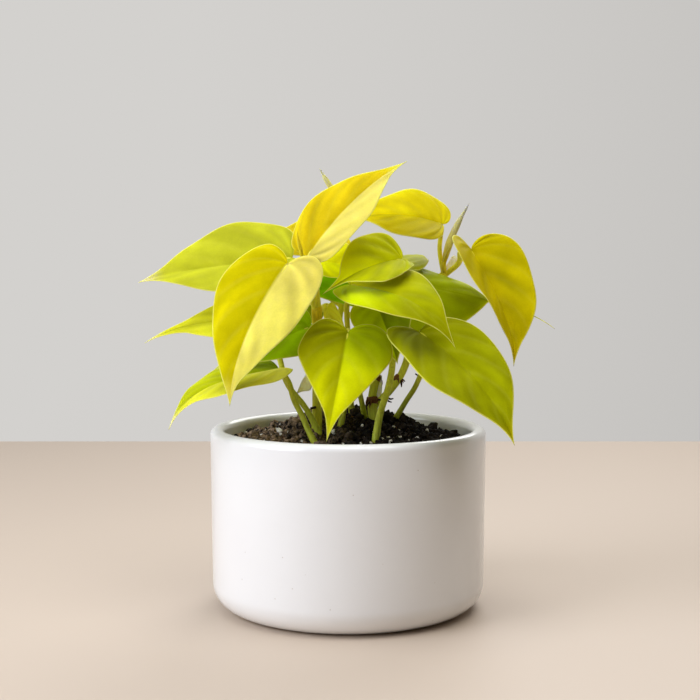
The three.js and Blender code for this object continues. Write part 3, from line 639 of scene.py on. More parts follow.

# %% [markdown]
# One row of the table is one leaf, in millimetres and degrees. base is where the stalk joins and tip the end
# of the drip tip. halves are the widths of the left and right half when the tip hangs down. faces is where
# the upper face looks, as a turn and a lift. arch bows the midrib up near the stalk and near the tip, bend
# pushes it sideways, fold lifts both halves from it and curl turns the margins. lobes reach back past the
# joint, full fills out each half, widest and drip say where along the blade it is widest and where the tip
# begins to draw out, and neck how wide it is there.
#
# Each half has a tint, and both run into the end tint at the tip. The two halves' tints are partly painted
# light: the paler half stands for the sheen of the light on it, the deeper one for its shade. Where heart
# tints are given, the blade starts with those beside the stalk and reaches the tints of its halves at
# heart_to. They are partly the leaf's own colour there and partly painted light and shade: darker where the
# leaves above shadow the blade by the stalk, brighter where it is lifted against that shadow. The small
# leaves deep inside the plant have bright tints: painted light against the shade that lies on them.

# %% Table of leaves
USUAL_BLADE = dict(
    lobes=[1, 1], full=[0.4, 0.4], widest=[0.15, 0.15], drip=0.8, neck=0.11, fold=12, curl=-12, bend=0,
    heart_to=0.45,
)
LEAF_ROWS = [
    dict(
        name="leaf_front_left", base=[-26, -30, 156], tip=[-49.3, -52, 97], halves=[24.5, 21.5],
        faces=[-22, 28], arch=[4, 8], bend=-4, fold=10, curl=-20, full=[0, 1], lobes=[0.7, 1.0],
        widest=[0.25, 0.18], drip=0.82, neck=0.1,
        slot="leaf_yellow", tints=["deep gold", "butter"], end="dark butter",
        hearts_and_painted_light=["deep gold", "dark butter"],
    ),
    dict(
        name="leaf_top", base=[-18, -24, 159], tip=[26, -12, 201], halves=[17.5, 15],
        faces=[-30, 28], arch=[5, 5], bend=2, fold=18, curl=-8, full=[1.1, 0.5], lobes=[0, 0],
        widest=[0.3, 0.33],
        slot="leaf_yellow", tints=["dark butter", "gold"], end="pale lemon",
    ),
    dict(
        name="leaf_back_left", base=[-25.4, 2, 158.5], tip=[-96.5, 10, 147], halves=[23, 20.5],
        faces=[-11, 41], arch=[2, 5], full=[0.6, 0.6], widest=[0.32, 0.2], lobes=[0.2, 0.6],
        slot="leaf_lime", tints=["dull lime", "dull lime"], end="cream",
    ),
    dict(
        name="leaf_left", base=[-36, 3, 133.5], tip=[-92, -4, 120], halves=[12.5, 18],
        faces=[-10, 42], arch=[1, 9], full=[0, 0.4], drip=0.65,
        slot="leaf_green", tints=["soft lime", "soft lime"], end="cream",
    ),
    dict(
        name="leaf_low_left", base=[-30.5, -24, 110.5], tip=[-77, -36, 85], halves=[18, 21],
        faces=[-50, 67], arch=[6, 15], fold=8, curl=-14, full=[0.7, 0.9], lobes=[0, 0.6], widest=[0.3, 0.3],
        slot="leaf_lime", tints=["deep lime", "soft lime"], end="cream", hearts_and_painted_light=["deep green", "pale lemon"],
    ),
    dict(
        name="leaf_low_inner", base=[-17, -14, 128], tip=[-59, -23, 109.5], halves=[12, 12],
        faces=[0, 30], arch=[3, 5], fold=8, curl=-10, full=[-0.2, 0.2], lobes=[0.5, 1],
        slot="leaf_green", tints=["bright green", "bright green"], end="pale green",
    ),
    dict(
        name="leaf_front", base=[0, -37, 127], tip=[-9, -52, 82], halves=[19.5, 20.5],
        faces=[2, 15], arch=[3, 6], fold=8, curl=-20, full=[-0.2, -0.3], lobes=[0.8, 1], widest=[0.25, 0.15],
        drip=0.75, neck=0.08,
        slot="leaf_lime", tints=["lime", "bright lime"], end="tip yellow", hearts_and_painted_light=["olive", "fresh olive"],
        heart_to=0.6,
    ),
    dict(
        name="leaf_centre_high", base=[23.5, -14, 158], tip=[-11, -34, 143], halves=[17, 18],
        faces=[-19, 40], arch=[6, 4], fold=20, curl=-8, full=[1, 1], lobes=[0.8, -0.3], widest=[0.15, 0.5],
        drip=0.72, neck=0.1,
        slot="leaf_lime", tints=["bright lime", "light olive"], end="dull lime",
        hearts_and_painted_light=["lime", "light olive"],
    ),
    dict(
        name="leaf_centre", base=[1, -20, 147], tip=[45, -48, 121], halves=[16, 19],
        faces=[22, 40], arch=[9, 18], fold=8, curl=-16, full=[0.7, 0.7], lobes=[0.4, 1], widest=[0.35, 0.3],
        slot="leaf_lime", tints=["light olive", "light olive"], end="light olive",
        hearts_and_painted_light=["light green", "light lime"], heart_to=0.62,
    ),
    dict(
        name="leaf_back_right", base=[29, 2, 148], tip=[97, 22, 125], halves=[25, 17],
        faces=[10, 45], arch=[1, 9], fold=-5, curl=-30, drip=0.49, neck=0.03, lobes=[0.6, 0.1],
        slot="leaf_green", tints=["fresh olive", "fresh olive"], end="cream",
    ),
    dict(
        name="leaf_front_right", base=[30.6, -31.4, 127], tip=[68, -66, 82.5], halves=[21.5, 18],
        faces=[23, 18], arch=[5, 8], bend=4, fold=16, curl=-10, full=[1, 1], lobes=[1.2, 0],
        widest=[0.36, 0.3], drip=0.82, neck=0.12,
        slot="leaf_lime", tints=["olive", "olive"], end="olive gold",
    ),
    dict(
        name="leaf_right", base=[56, 5, 162], tip=[72.8, -20, 111], halves=[20, 22.5],
        faces=[38, 12], arch=[2, 7], fold=26, curl=-8, full=[1, 0.8], lobes=[1, 0.7], bend=3,
        slot="leaf_yellow", tints=["shaded gold", "deep gold"], end="brown gold",
    ),
    dict(
        name="leaf_top_right", base=[44, 22, 174], tip=[-2, 10, 176], halves=[16, 21],
        faces=[-3, 46], arch=[7, 5], fold=16, curl=-8, full=[0.4, 1], lobes=[1, -0.8], widest=[0.2, 0.4],
        slot="leaf_yellow", tints=["lemon", "shaded gold"], end="tip yellow",
    ),
    dict(
        name="leaf_behind_top", base=[-5, 26, 169], tip=[-46, 24, 158], halves=[14, 14],
        faces=[-8, 45], arch=[4, 4],
        slot="leaf_yellow", tints=["gold", "gold"], end="butter",
    ),
    dict(
        name="leaf_inner_high", base=[-11, -1, 157], tip=[14, -1, 151], halves=[7.5, 11],
        faces=[0, 20], arch=[2, 2], lobes=[0.6, 0.6],
        slot="leaf_lime", tints=["bright lime", "light lime"], end="tip yellow",
    ),
    dict(
        name="leaf_inner", base=[11, 6, 144], tip=[-27, 5, 145], halves=[8.5, 9],
        faces=[0, 15], arch=[3, 3],
        slot="leaf_green", tints=["cool green", "cool green"], end="deep green",
    ),
    dict(
        name="leaf_inner_low", base=[13, -10, 138], tip=[22, -15, 111.5], halves=[14, 14],
        faces=[5, 15], arch=[2, 3],
        slot="leaf_green", tints=["light green", "deep green"], end="fresh olive",
    ),
    dict(
        name="leaf_small", base=[-9.2, -2.6, 136], tip=[-4.6, -6, 117.5], halves=[2.8, 5.2],
        faces=[0, 20], arch=[1, 2], widest=[0.3, 0.5],
        slot="leaf_lime", tints=["pale lemon", "pale lemon"], end="tip yellow",
    ),
    dict(
        name="leaf_back_centre", base=[22, 9, 154.5], tip=[30, 58, 156.5], halves=[14, 17],
        faces=[0, 84], arch=[5, 5], fold=4,
        slot="leaf_green", tints=["deep lime", "deep lime"], end="light olive",
    ),
    dict(
        name="leaf_back_high_left", base=[-16, 24, 148], tip=[-50, 52, 128], halves=[16, 16],
        faces=[200, 55], arch=[5, 6],
        slot="leaf_lime", tints=["dull lime", "dull lime"], end="pale green",
    ),
    dict(
        name="leaf_back_low_left", base=[-18, 16, 128], tip=[-62, 30, 125], halves=[14, 14],
        faces=[-10, 60], arch=[4, 5],
        slot="leaf_green", tints=["deep green", "deep green"], end="pale green",
    ),
    dict(
        name="leaf_back_low_right", base=[22, 37, 136], tip=[46, 64, 108], halves=[15, 15],
        faces=[150, 50], arch=[5, 7],
        slot="leaf_green", tints=["deep green", "deep green"], end="pale green",
    ),
]
LEAVES = [USUAL_BLADE | row for row in LEAF_ROWS]
print("leaves:", len(LEAVES))


# %% [markdown]
# A place on a curve is looked up by its share of the length, because that is how a leaf is measured: half
# way along the midrib is half of its length, wherever the curve's handles are.

# %% Places along a curve
CURVE_STEPS = 160


def track(points):
    """A run of points with the share of the whole length reached at each."""
    steps = [(b - a).length for a, b in zip(points, points[1:])]
    shares = [0.0]
    for step in steps:
        shares.append(shares[-1] + step / sum(steps))
    ways = [points[min(i + 1, len(points) - 1)] - points[max(i - 1, 0)] for i in range(len(points))]
    return dict(points=points, shares=shares, ways=ways, length=sum(steps))


def on_track(line, share):
    """The point at a share of the length, and the direction there."""
    i = min(max(bisect.bisect_right(line["shares"], share), 1), len(line["points"]) - 1)
    low, high = line["shares"][i - 1], line["shares"][i]
    part = min(max((share - low) / (high - low), 0), 1)
    point = line["points"][i - 1].lerp(line["points"][i], part)
    way = line["ways"][i - 1].lerp(line["ways"][i], part)
    return point, way.normalized()


def curve(*handles):
    """Points of one cubic curve from its two ends and the two handles between them."""
    return interpolate_bezier(*[Vector(h) for h in handles], CURVE_STEPS)


# %% [markdown]
# The heart's margin is four short curves for each half: round the back of the lobe, out to the widest
# point, in to where the drip tip starts, and out to the point. Rays run from the midrib to the margin. The
# rays of the lobe all start where the stalk joins, as the veins there do, and the others leave the midrib
# further and further down, swept forward. The proportions below are in blade lengths.

# %% The flat heart and its bend in space
HALF_WIDTH = 0.44
LOBE_MIDDLE, LOBE_REACH, LOBE_HANDLE = 0.2, 0.11, 0.15
NOTCH_HANDLE, SHOULDER_HANDLE = 0.02, 0.34
FULLNESS, FULLNESS_GAIN = 0.38, 0.15
FLANK_WIDTH, FLANK_GAIN, FLANK_AT = 0.22, 0.1, 0.78
TIP_EASE = 0.25
POINT_WIDTH, POINT_AT = 0.012, 0.65
LOBE_SHARE = 0.38
RAY_SWEEP = 1.3
ARCH_AT = (0.33, 0.7)


def margin(lobe, full, widest, drip, neck):
    """The margin of one half in blade lengths: x away from the midrib, y towards the tip."""
    back = -LOBE_REACH * lobe
    wide = HALF_WIDTH
    fullness = drip * (FULLNESS + FULLNESS_GAIN * full) - LOBE_HANDLE
    flank_handle = widest + fullness * (drip - widest) / (drip - LOBE_HANDLE)
    flank_x, flank_y = FLANK_WIDTH + FLANK_GAIN * full, drip * FLANK_AT
    tip_x, tip_y = neck + TIP_EASE * (neck - flank_x), drip + TIP_EASE * (drip - flank_y)
    point_y = drip + POINT_AT * (1 - drip)
    lobe_back = curve(
        (0, 0, 0), (NOTCH_HANDLE, back / 2, 0), (LOBE_MIDDLE / 2, back, 0), (LOBE_MIDDLE, back, 0))
    lobe_out = curve(
        (LOBE_MIDDLE, back, 0), (SHOULDER_HANDLE, back, 0),
        (wide, widest - LOBE_HANDLE, 0), (wide, widest, 0))
    flank = curve((wide, widest, 0), (wide, flank_handle, 0), (flank_x, flank_y, 0), (neck, drip, 0))
    point = curve((neck, drip, 0), (tip_x, tip_y, 0), (POINT_WIDTH, point_y, 0), (0, 1, 0))
    return track(lobe_back + lobe_out[1:] + flank[1:] + point[1:])


def ray_start(s):
    """Where the ray to share s of the margin leaves the midrib."""
    return max(0, (s - LOBE_SHARE) / (1 - LOBE_SHARE)) ** RAY_SWEEP


def facing(turn, lift):
    """The direction an upper face looks in: turn 0 is the front, 90 is +X, and lift 90 is straight up."""
    a, b = math.radians(turn), math.radians(lift)
    return Vector((math.sin(a) * math.cos(b), -math.cos(a) * math.cos(b), math.sin(b)))


def blade_frame(leaf):
    """The midrib in space, in millimetres, and the direction of the upper face."""
    base, tip = Vector(leaf["base"]), Vector(leaf["tip"])
    chord = tip - base
    up = facing(*leaf["faces"])
    up = (up - up.project(chord)).normalized()
    side = up.cross(chord).normalized() * leaf["bend"]
    near, far = [base + chord * at + up * rise + side for at, rise in zip(ARCH_AT, leaf["arch"])]
    return track(curve(base, near, far, tip)), up


# %% [markdown]
# On the bent heart lies the relief of a living blade. The skin swells a little between the side veins, the
# midrib lies in a groove, and the margin waves. All of it dies out towards the tip, where the blade is too
# narrow for it.

# %% Relief and tint of a blade
QUILT_HEIGHT = 0.3
GROOVE_DEPTH = 0.5
GROOVE_WIDTH = 1.1
MARGIN_WAVE = 0.55
WAVES = 3.2
FULL_RELIEF_WIDTH = 16
QUILT_PAINTED_SHADE = 0.06
STREAK_CONTRAST = 0.2
STREAK_COUNT = 10
TIP_FROM = 0.8
ON_RIB = 1e-4


def ease(low, high, value):
    """Runs smoothly from 0 at low to 1 at high."""
    share = min(max((value - low) / (high - low), 0), 1)
    return share * share * (3 - 2 * share)


def ripple(s, t):
    """1 half way between two side veins, -1 on a vein."""
    return -math.cos(math.tau * VEINS * (s - VEIN_SWEEP * t * t))


def streak(s, t, phase):
    """Uneven light and dark that runs out along the side veins, about -1 to 1. phase is the leaf's own."""
    return 1.4 * noise.noise(Vector((STREAK_COUNT * (s - VEIN_SWEEP * t * t), 1.3 * t, 40 * phase)))


def quilt_share(t, width):
    """How much of the quilting shows: none at the midrib and the margin, and none on a narrow strip."""
    return ease(0.02, 0.4, abs(t)) * (1 - ease(0.7, 1, abs(t))) * ease(0, FULL_RELIEF_WIDTH, width)


def relief(s, t, width, off_rib, phase):
    """Height of the skin above the plain bent heart, in millimetres."""
    swell = QUILT_HEIGHT * (0.5 + 0.5 * ripple(s, t) + streak(s, t, phase)) * quilt_share(t, width)
    groove = GROOVE_DEPTH * math.exp(-(off_rib / GROOVE_WIDTH) ** 2) * ease(0, FULL_RELIEF_WIDTH, width)
    wave = MARGIN_WAVE * math.sin(math.tau * (WAVES * s + phase)) * abs(t) ** 3
    return swell - groove + wave * ease(0, FULL_RELIEF_WIDTH, width)


def mixed(first, second, share):
    """One linear colour on the way from the first to the second."""
    return [a + (b - a) * share for a, b in zip(first, second)]


def leaf_tint(tint):
    """One of the named leaf tints, as linear light."""
    return linear(LEAF_TINTS[tint])


def tint_at(leaf, s, t, along, width, phase):
    """The leaf's colour at one place, with painted light and shade in it, the quilting's among them."""
    hand = 0 if t < 0 else 1
    tone = leaf_tint(leaf["tints"][hand])
    if abs(t) < ON_RIB:
        tone = mixed(tone, leaf_tint(leaf["tints"][0]), 0.5)
    # Heart tints: painted light and shade beside the stalk, where other leaves cast their shadows.
    heart = leaf_tint(leaf.get("hearts_and_painted_light", leaf["tints"])[hand])
    tone = mixed(heart, tone, ease(0, leaf["heart_to"], along))
    tone = mixed(tone, leaf_tint(leaf["end"]), ease(TIP_FROM, 1, along))
    # Painted shade of the quilting: lighter on the swells between the side veins, darker on the veins.
    light = QUILT_PAINTED_SHADE * ripple(s, t) * quilt_share(t, width) + STREAK_CONTRAST * streak(s, t, phase)
    return [c * (1 + light) for c in tone[:3]] + [1.0]


# %% [markdown]
# A blade starts as a flat grid. Each point's place in the grid says which ray it is on and how far out, and
# from that come its place in space, its tint and its distances. The Solidify modifier then gives the sheet
# its thickness, thin at the margin, and puts the second finish on the underside.

# %% Make the blades
BLADE_ROWS = 96
BLADE_COLUMNS = 44
BLADE_THICKNESS = 0.55
THIN_EDGE = 0.4
THIN_WIDTH = 3
SHEET_MERGE = 1e-7


def new_sheet(columns, rows):
    """A flat grid from -1 to 1 with the layers that the leaf skin and the thickness read."""
    sheet = bmesh.new()
    sheet.loops.layers.uv.new("blade")
    bmesh.ops.create_grid(sheet, x_segments=columns, y_segments=rows, size=1, calc_uvs=True)
    layers = sheet.verts.layers
    layers.float_color.new("tint")
    layers.float.new("from_rib")
    layers.float.new("from_edge")
    thick = layers.deform.verify()
    return sheet, (layers.float_color["tint"], layers.float["from_rib"], layers.float["from_edge"], thick)


def thicken(made, thickness, thin_share=None, underside=0):
    """Gives a sheet its thickness in millimetres, down to the thin share where its weights are 0."""
    solid = made.modifiers.new("thickness", "SOLIDIFY")
    solid.thickness = thickness * MM
    solid.offset = 0
    solid.material_offset = underside
    if thin_share:
        made.vertex_groups.new(name="thick")
        solid.vertex_group = "thick"
        solid.thickness_vertex_group = thin_share


def blade_shape(leaf):
    """All that the surface of a blade is worked out from."""
    rib, up = blade_frame(leaf)
    margins = [
        margin(lobe, full, widest, leaf["drip"], leaf["neck"])
        for lobe, full, widest in zip(leaf["lobes"], leaf["full"], leaf["widest"])]
    fold, curl = math.radians(leaf["fold"]), math.radians(leaf["curl"])
    return dict(rib=rib, up=up, margins=margins, fold=fold, curl=curl, halves=leaf["halves"])


def on_blade(shape, s, t):
    """One place of a blade: t runs from the left margin (-1) over the midrib (0) to the right one (1)."""
    hand = 0 if t < 0 else 1
    rib, half = shape["rib"], shape["halves"][hand]
    outer, _ = on_track(shape["margins"][hand], s)
    width = outer.x * half / HALF_WIDTH
    across = width * abs(t)
    along = ray_start(s) + (outer.y - ray_start(s)) * abs(t)
    behind = min(along, 0) * rib["length"]
    spot, forward = on_track(rib, min(max(along, 0), 1))
    normal = (shape["up"] - shape["up"].project(forward)).normalized()
    rise = shape["fold"] + shape["curl"] * across / half / 2
    spot = spot + forward * behind + normal * across * math.sin(rise)
    spot += normal.cross(forward) * math.copysign(across * math.cos(rise), t)
    ray = math.hypot(width, (outer.y - ray_start(s)) * rib["length"])
    return dict(
        spot=spot, normal=normal, along=along, width=width, off_rib=math.hypot(across, behind),
        off_edge=ray * (1 - abs(t)))


def blade(leaf):
    """One leaf blade as a piece that stands for the solid of the same name."""
    shape = blade_shape(leaf)
    phase = random.random()
    sheet, (tints, ribs, edges, weights) = new_sheet(BLADE_COLUMNS, BLADE_ROWS)
    vein_map = sheet.loops.layers.uv["blade"]
    for corner in [c for f in sheet.faces for c in f.loops]:
        x, y, _ = corner.vert.co
        corner[vein_map].uv = ((x + 1) / 2, (1 - y) / 2)
    for point in sheet.verts:
        t, s = point.co.x, (1 - point.co.y) / 2
        here = on_blade(shape, s, t)
        lift = relief(s, t, here["width"], here["off_rib"], phase)
        point.co = (here["spot"] + here["normal"] * lift) * MM
        point[tints] = tint_at(leaf, s, t, here["along"], here["width"], phase)
        point[ribs] = here["off_rib"]
        point[edges] = here["off_edge"]
        point[weights][0] = ease(0, THIN_WIDTH, here["off_edge"])

    bmesh.ops.remove_doubles(sheet, verts=sheet.verts, dist=SHEET_MERGE)
    sheet.normal_update()
    looks_up = sum(f.normal.dot(shape["up"]) * f.calc_area() for f in sheet.faces)
    if looks_up < 0:
        bmesh.ops.reverse_faces(sheet, faces=sheet.faces)
    made = piece(leaf["name"] + "_blade", sheet, [leaf_upper, leaf_under], leaf["name"])
    thicken(made, BLADE_THICKNESS, THIN_EDGE, underside=1)


for leaf in LEAVES:
    blade(leaf)

# %% [markdown]
# ## Stems and leaf stalks
# Leaf stalks are smooth, juicy and round, olive below and more yellow towards the light. They get a fine
# streak along their length. A curve with a round bevel is the natural way to make one: it follows the same
# places as the solid, and each point can have its own radius, so a stalk swells at its foot and runs out
# under the blade as the raised midrib.
#
# One recipe makes all the skins of stems, shoots, rootlets and dry paper, because each is a plant skin with
# long streaks and corky specks. The streaks are drawn 0.8 mm wide and 6 mm long, coarser than the real ones,
# so that they show.

# %% Stalk materials
STALK_LOW_Z = 84
STALK_HIGH_Z = 152
STREAK_WIDTH = 0.77
STREAK_SQUEEZE = 0.12
CORK_WIDTH = 1.43


def stalk_finish(name, low, high, speck_colour, speck_share, glow=0.4):
    """A smooth, streaked plant skin that runs from the low to the high colour up the plant.

    glow is the share of the light that goes through the skin before it comes out again.
    """
    finish = new_finish(name)
    nodes = finish.node_tree
    where = add(nodes, "ShaderNodeTexCoord").outputs["Object"]
    z = add(nodes, "ShaderNodeSeparateXYZ", {0: where}).outputs["Z"]
    rise = add(
        nodes, "ShaderNodeMapRange",
        {"Value": z, "From Min": STALK_LOW_Z * MM, "From Max": STALK_HIGH_Z * MM})
    tone = add(
        nodes, "ShaderNodeMix", {0: rise.outputs[0], 6: linear(low), 7: linear(high)}, data_type="RGBA")
    long = add(nodes, "ShaderNodeMapping", {"Vector": where, "Scale": (1.0, 1.0, STREAK_SQUEEZE)})
    streaks = add(
        nodes, "ShaderNodeTexNoise",
        {"Vector": long.outputs[0], "Scale": repeats(STREAK_WIDTH), "Detail": 2.0})
    light = add(
        nodes, "ShaderNodeMapRange",
        {"Value": streaks.outputs["Fac"], "From Min": 0.3, "From Max": 0.7, "To Min": 0.82, "To Max": 1.15})
    streaked = add(
        nodes, "ShaderNodeVectorMath", {0: tone.outputs[2], "Scale": light.outputs[0]}, operation="SCALE")
    cork = add(nodes, "ShaderNodeTexNoise", {"Vector": where, "Scale": repeats(CORK_WIDTH), "Detail": 3.0})
    corky = add(
        nodes, "ShaderNodeMapRange",
        {"Value": cork.outputs["Fac"], "From Min": 0.62, "From Max": 0.7, "To Max": speck_share})
    base = add(
        nodes, "ShaderNodeMix",
        {0: corky.outputs[0], 6: streaked.outputs[0], 7: linear(speck_colour)}, data_type="RGBA")
    bump = add(
        nodes, "ShaderNodeBump", {"Height": streaks.outputs["Fac"], "Strength": 0.25, "Distance": 0.1 * MM})
    show(nodes, add(
        nodes, "ShaderNodeBsdfPrincipled",
        {"Base Color": base.outputs[2], "Roughness": 0.45, "IOR": 1.42, "Subsurface Weight": glow,
         "Specular IOR Level": 0.2, "Subsurface Radius": (1.0, 0.9, 0.3), "Subsurface Scale": 0.8 * MM,
         "Normal": bump.outputs[0]}))
    return finish


stalk_skin = stalk_finish("stalk_skin", "#C2CC46", "#F2E83A", "#8C6B3A", 0.25)
node_cork = stalk_finish("node_cork", "#6B4028", "#8A6A34", "#2E1B10", 0.7)
node_amber = stalk_finish("node_amber", "#E8CC2C", "#F4DC2C", "#A8801C", 0.4, glow=0.7)
# A lighter copy of the stalk skin for the left stem: golden, and painted light against the leaves' shade.
stalk_golden_painted_lit = stalk_finish("stalk_golden_painted_lit", "#D8D848", "#FFF258", "#A08030", 0.2, glow=0.7)
shoot_cream = stalk_finish("shoot_cream", "#F0E4B8", "#FFF6E0", "#D8C29A", 0.3, glow=0.7)
shoot_gold = stalk_finish("shoot_gold", "#CDBB20", "#E0CE2A", "#A68E18", 0.3)
dry_paper = stalk_finish("dry_sheath_paper", "#FFF8E0", "#FFFAEA", "#D8C29A", 0.4, glow=1.0)
root_dark = stalk_finish("young_root", "#2A1A10", "#3A2416", "#17100B", 0.5)

# %% [markdown]
# The routes are the ones of the solids, in millimetres. A stem carries stalks that leave it at its nodes,
# the rings where old leaves sat. Only a stalk's first points stand in the table: the others follow from its
# leaf. The left stem is golden, and its skin is a lighter copy of the stalk skin: painted light where the
# leaves above shade it. No brown collar lies round its nodes.

# %% Table of stems
STEMS = [
    dict(
        name="stem_left", radius=2.1, finish=stalk_golden_painted_lit,
        through=[
            [-14, -10, 80], [-14, -9, 93], [-14, -7, 108], [-14, -5, 122], [-14, -7, 134], [-15, -6, 145],
        ],
        stalks=[
            dict(leaf="leaf_front_left", radius=1.2, through=[[-14, -7, 134], [-19, -13, 146]]),
            dict(leaf="leaf_top", radius=1.2, through=[[-15, -6, 144], [-18, -13, 151]]),
            dict(leaf="leaf_back_left", radius=1.2, through=[[-15, -6, 144], [-21, -1, 151]]),
            dict(leaf="leaf_inner_high", radius=1.1, through=[[-15, -6, 144], [-15, 0, 150]]),
            dict(leaf="leaf_low_inner", radius=1.1, through=[[-14, -7, 108], [-19, -6, 116]]),
            dict(leaf="leaf_small", radius=0.9, through=[[-14, -6, 130], [-12, -1, 135]]),
        ],
        branches=[dict(radius=1.1, through=[[-15, -6, 144], [-15, 3, 160], [-9, 7, 176], [-4, 6, 184]])],
    ),
    dict(
        name="stem_inner", radius=1.3,
        through=[[2, 7, 84], [0, 6, 103], [-4, 7, 125], [-3, 8, 138]],
        stalks=[dict(leaf="leaf_inner", radius=1.1, through=[[-3, 8, 137], [3, 11, 141]])],
    ),
    dict(
        name="stem_main", radius=2.2,
        through=[
            [12, -4, 82], [11, -4, 94], [12, -3, 101], [14, 2, 117], [24, 14, 132], [38, 25, 143],
            [45.5, 26, 150.5],
        ],
        nodes=[[11.3, -4, 94.5], [12.6, -2, 104]],
        branches=[
            dict(radius=1.7, through=[[12, -4, 92], [19, -5, 99], [25, -3, 108], [28, 0, 119], [30, 5, 132]]),
            dict(radius=1.6, through=[[45, 26, 150], [48, 26, 154], [50, 26, 158]]),
        ],
        stalks=[
            dict(leaf="leaf_back_right", radius=1.3, through=[[30, 4, 130], [30, 7, 138]]),
            dict(leaf="leaf_top_right", radius=1.1, through=[[45, 26, 150], [43, 26, 162]]),
            dict(leaf="leaf_right", radius=1.3, through=[[46, 26, 150.5], [51.5, 19, 156]]),
            dict(leaf="leaf_inner_low", radius=1.1, through=[[13, 0, 112], [13, -2, 126]]),
        ],
    ),
    dict(
        name="stem_back", radius=1.9,
        through=[[12, 26, 84], [12, 26, 100], [11, 25, 120], [8, 22, 145]],
        nodes=[[11, 25, 121]],
        stalks=[
            dict(leaf="leaf_back_centre", radius=1.1, through=[[8, 22, 143], [13, 19, 151]]),
            dict(leaf="leaf_behind_top", radius=1.1, through=[[8, 22, 143], [3, 25, 156]]),
            dict(leaf="leaf_back_high_left", radius=1.1, through=[[11, 25, 120], [-4, 24, 136]]),
            dict(leaf="leaf_back_low_left", radius=1.1, through=[[11, 25, 110], [-4, 24, 120]]),
            dict(leaf="leaf_back_low_right", radius=1.1, through=[[11, 25, 118], [17, 31, 128]]),
        ],
    ),
]
STALKS = [
    dict(
        name="stalk_low_left", leaf="leaf_low_left", radius=1.3,
        through=[[-15, -27, 79], [-17.6, -26, 84], [-20.2, -25, 90], [-23.4, -24, 96]],
    ),
    dict(
        name="stalk_left", leaf="leaf_left", radius=1.3,
        through=[[-13, -15, 81], [-19, -14, 92], [-27, -10, 102], [-31, -2, 113], [-35, 0, 125]],
    ),
    dict(
        name="stalk_front", leaf="leaf_front", radius=1.3,
        through=[[-4, -13, 81], [-2, -15, 91], [-1, -20, 105]],
    ),
    dict(
        name="stalk_centre", leaf="leaf_centre", radius=1.2,
        through=[[8, 1, 84], [6, -3, 94], [3, -8, 109], [0, -12, 125]],
    ),
    dict(
        name="stalk_centre_high", leaf="leaf_centre_high", radius=1.5,
        through=[[12, -24, 79], [14, -22, 90], [18, -16, 102], [20, -7, 114], [19, -5, 130], [19, -7, 144]],
    ),
    dict(
        name="stalk_front_right", leaf="leaf_front_right", radius=1.2,
        through=[[21, 8, 83], [26, -1, 93], [31, -10, 103], [34, -17, 115]],
    ),
]
print("stems:", len(STEMS), "single stalks:", len(STALKS))

# %% [markdown]
# Each route goes straight on below its first point, down into the soil. At the other end a stalk turns up to
# its leaf's joint, sits just under it, and runs on as the raised midrib, sunk into the underside so far that
# it can't come through the groove above it. A collar is a short thick stretch of tube round a node.

# %% Make the stems and stalks
LEAF_NAMED = {leaf["name"]: leaf for leaf in LEAVES}
ROOT_DEPTH = 10
SOLID_BLADE_HALF, JOINT_GAP = 0.35, 0.3
STALK_SEAT = SOLID_BLADE_HALF + JOINT_GAP
STALK_LEAN = 0.4
STALK_TURN, STALK_SLANT = 4, 0.75
JOINT_REACH, JOINT_THIN = 0.5, 0.8
RIB_SHARES = (0.08, 0.2, 0.35, 0.5, 0.65, 0.8)
RIB_THIN = 0.5
RIB_SUNK = 0.6
FOOT_SWELL = 1.18
COLLAR_HALF = 1.6
COLLAR_SWELL, COLLAR_LIP = 1.28, 1.02
ROUND_STEPS = 5
TUBE_STEPS = 8


def rooted(route):
    """The route with its first point swollen and a foot that goes straight on into the soil."""
    (first, radius), *rest = route
    swollen = radius * FOOT_SWELL
    foot = first + (first - rest[0][0]).normalized() * ROOT_DEPTH
    return [(foot, swollen), (first, swollen)] + rest


def stalk_route(stalk):
    """Places and radii of one stalk: through its own points, under the joint and on as the raised midrib."""
    leaf = LEAF_NAMED[stalk["leaf"]]
    rib, up = blade_frame(leaf)
    _, forward = on_track(rib, 0)
    normal = (up - up.project(forward)).normalized()
    radius = stalk["radius"]
    end = Vector(leaf["base"]) - normal * (STALK_SEAT + STALK_LEAN * radius)
    turn = end - normal * STALK_TURN - forward * STALK_TURN * STALK_SLANT
    route = [(Vector(p), radius) for p in stalk["through"]]
    route += [(turn, radius), (end + forward * JOINT_REACH, radius * JOINT_THIN)]
    shape = blade_shape(leaf)
    for share in RIB_SHARES:
        place, forward = on_track(rib, share)
        normal = (up - up.project(forward)).normalized()
        thin = radius * RIB_THIN * (1 - share)
        s = LOBE_SHARE + (1 - LOBE_SHARE) * share ** (1 / RAY_SWEEP)
        groove = -relief(s, 0, on_blade(shape, s, 0)["width"], 0, 0)
        route.append((place - normal * (groove + RIB_SUNK * thin), thin))
    return route


def green_tubes(name, routes, finish, node=None):
    """One curve object with a smooth tube for each route of places and radii, in millimetres."""
    data = bpy.data.curves.new(name, "CURVE")
    data.dimensions = "3D"
    data.bevel_depth = MM
    data.bevel_resolution = ROUND_STEPS
    data.resolution_u = TUBE_STEPS
    data.use_fill_caps = True
    for route in routes:
        line = data.splines.new("BEZIER")
        line.bezier_points.add(len(route) - 1)
        for knot, (place, radius) in zip(line.bezier_points, route):
            knot.co = Vector(place) * MM
            knot.radius = radius
            knot.handle_left_type = "AUTO"
            knot.handle_right_type = "AUTO"
    data.materials.append(finish)
    print(name, len(routes), "tubes")
    return settle(bpy.data.objects.new(name, data), node)


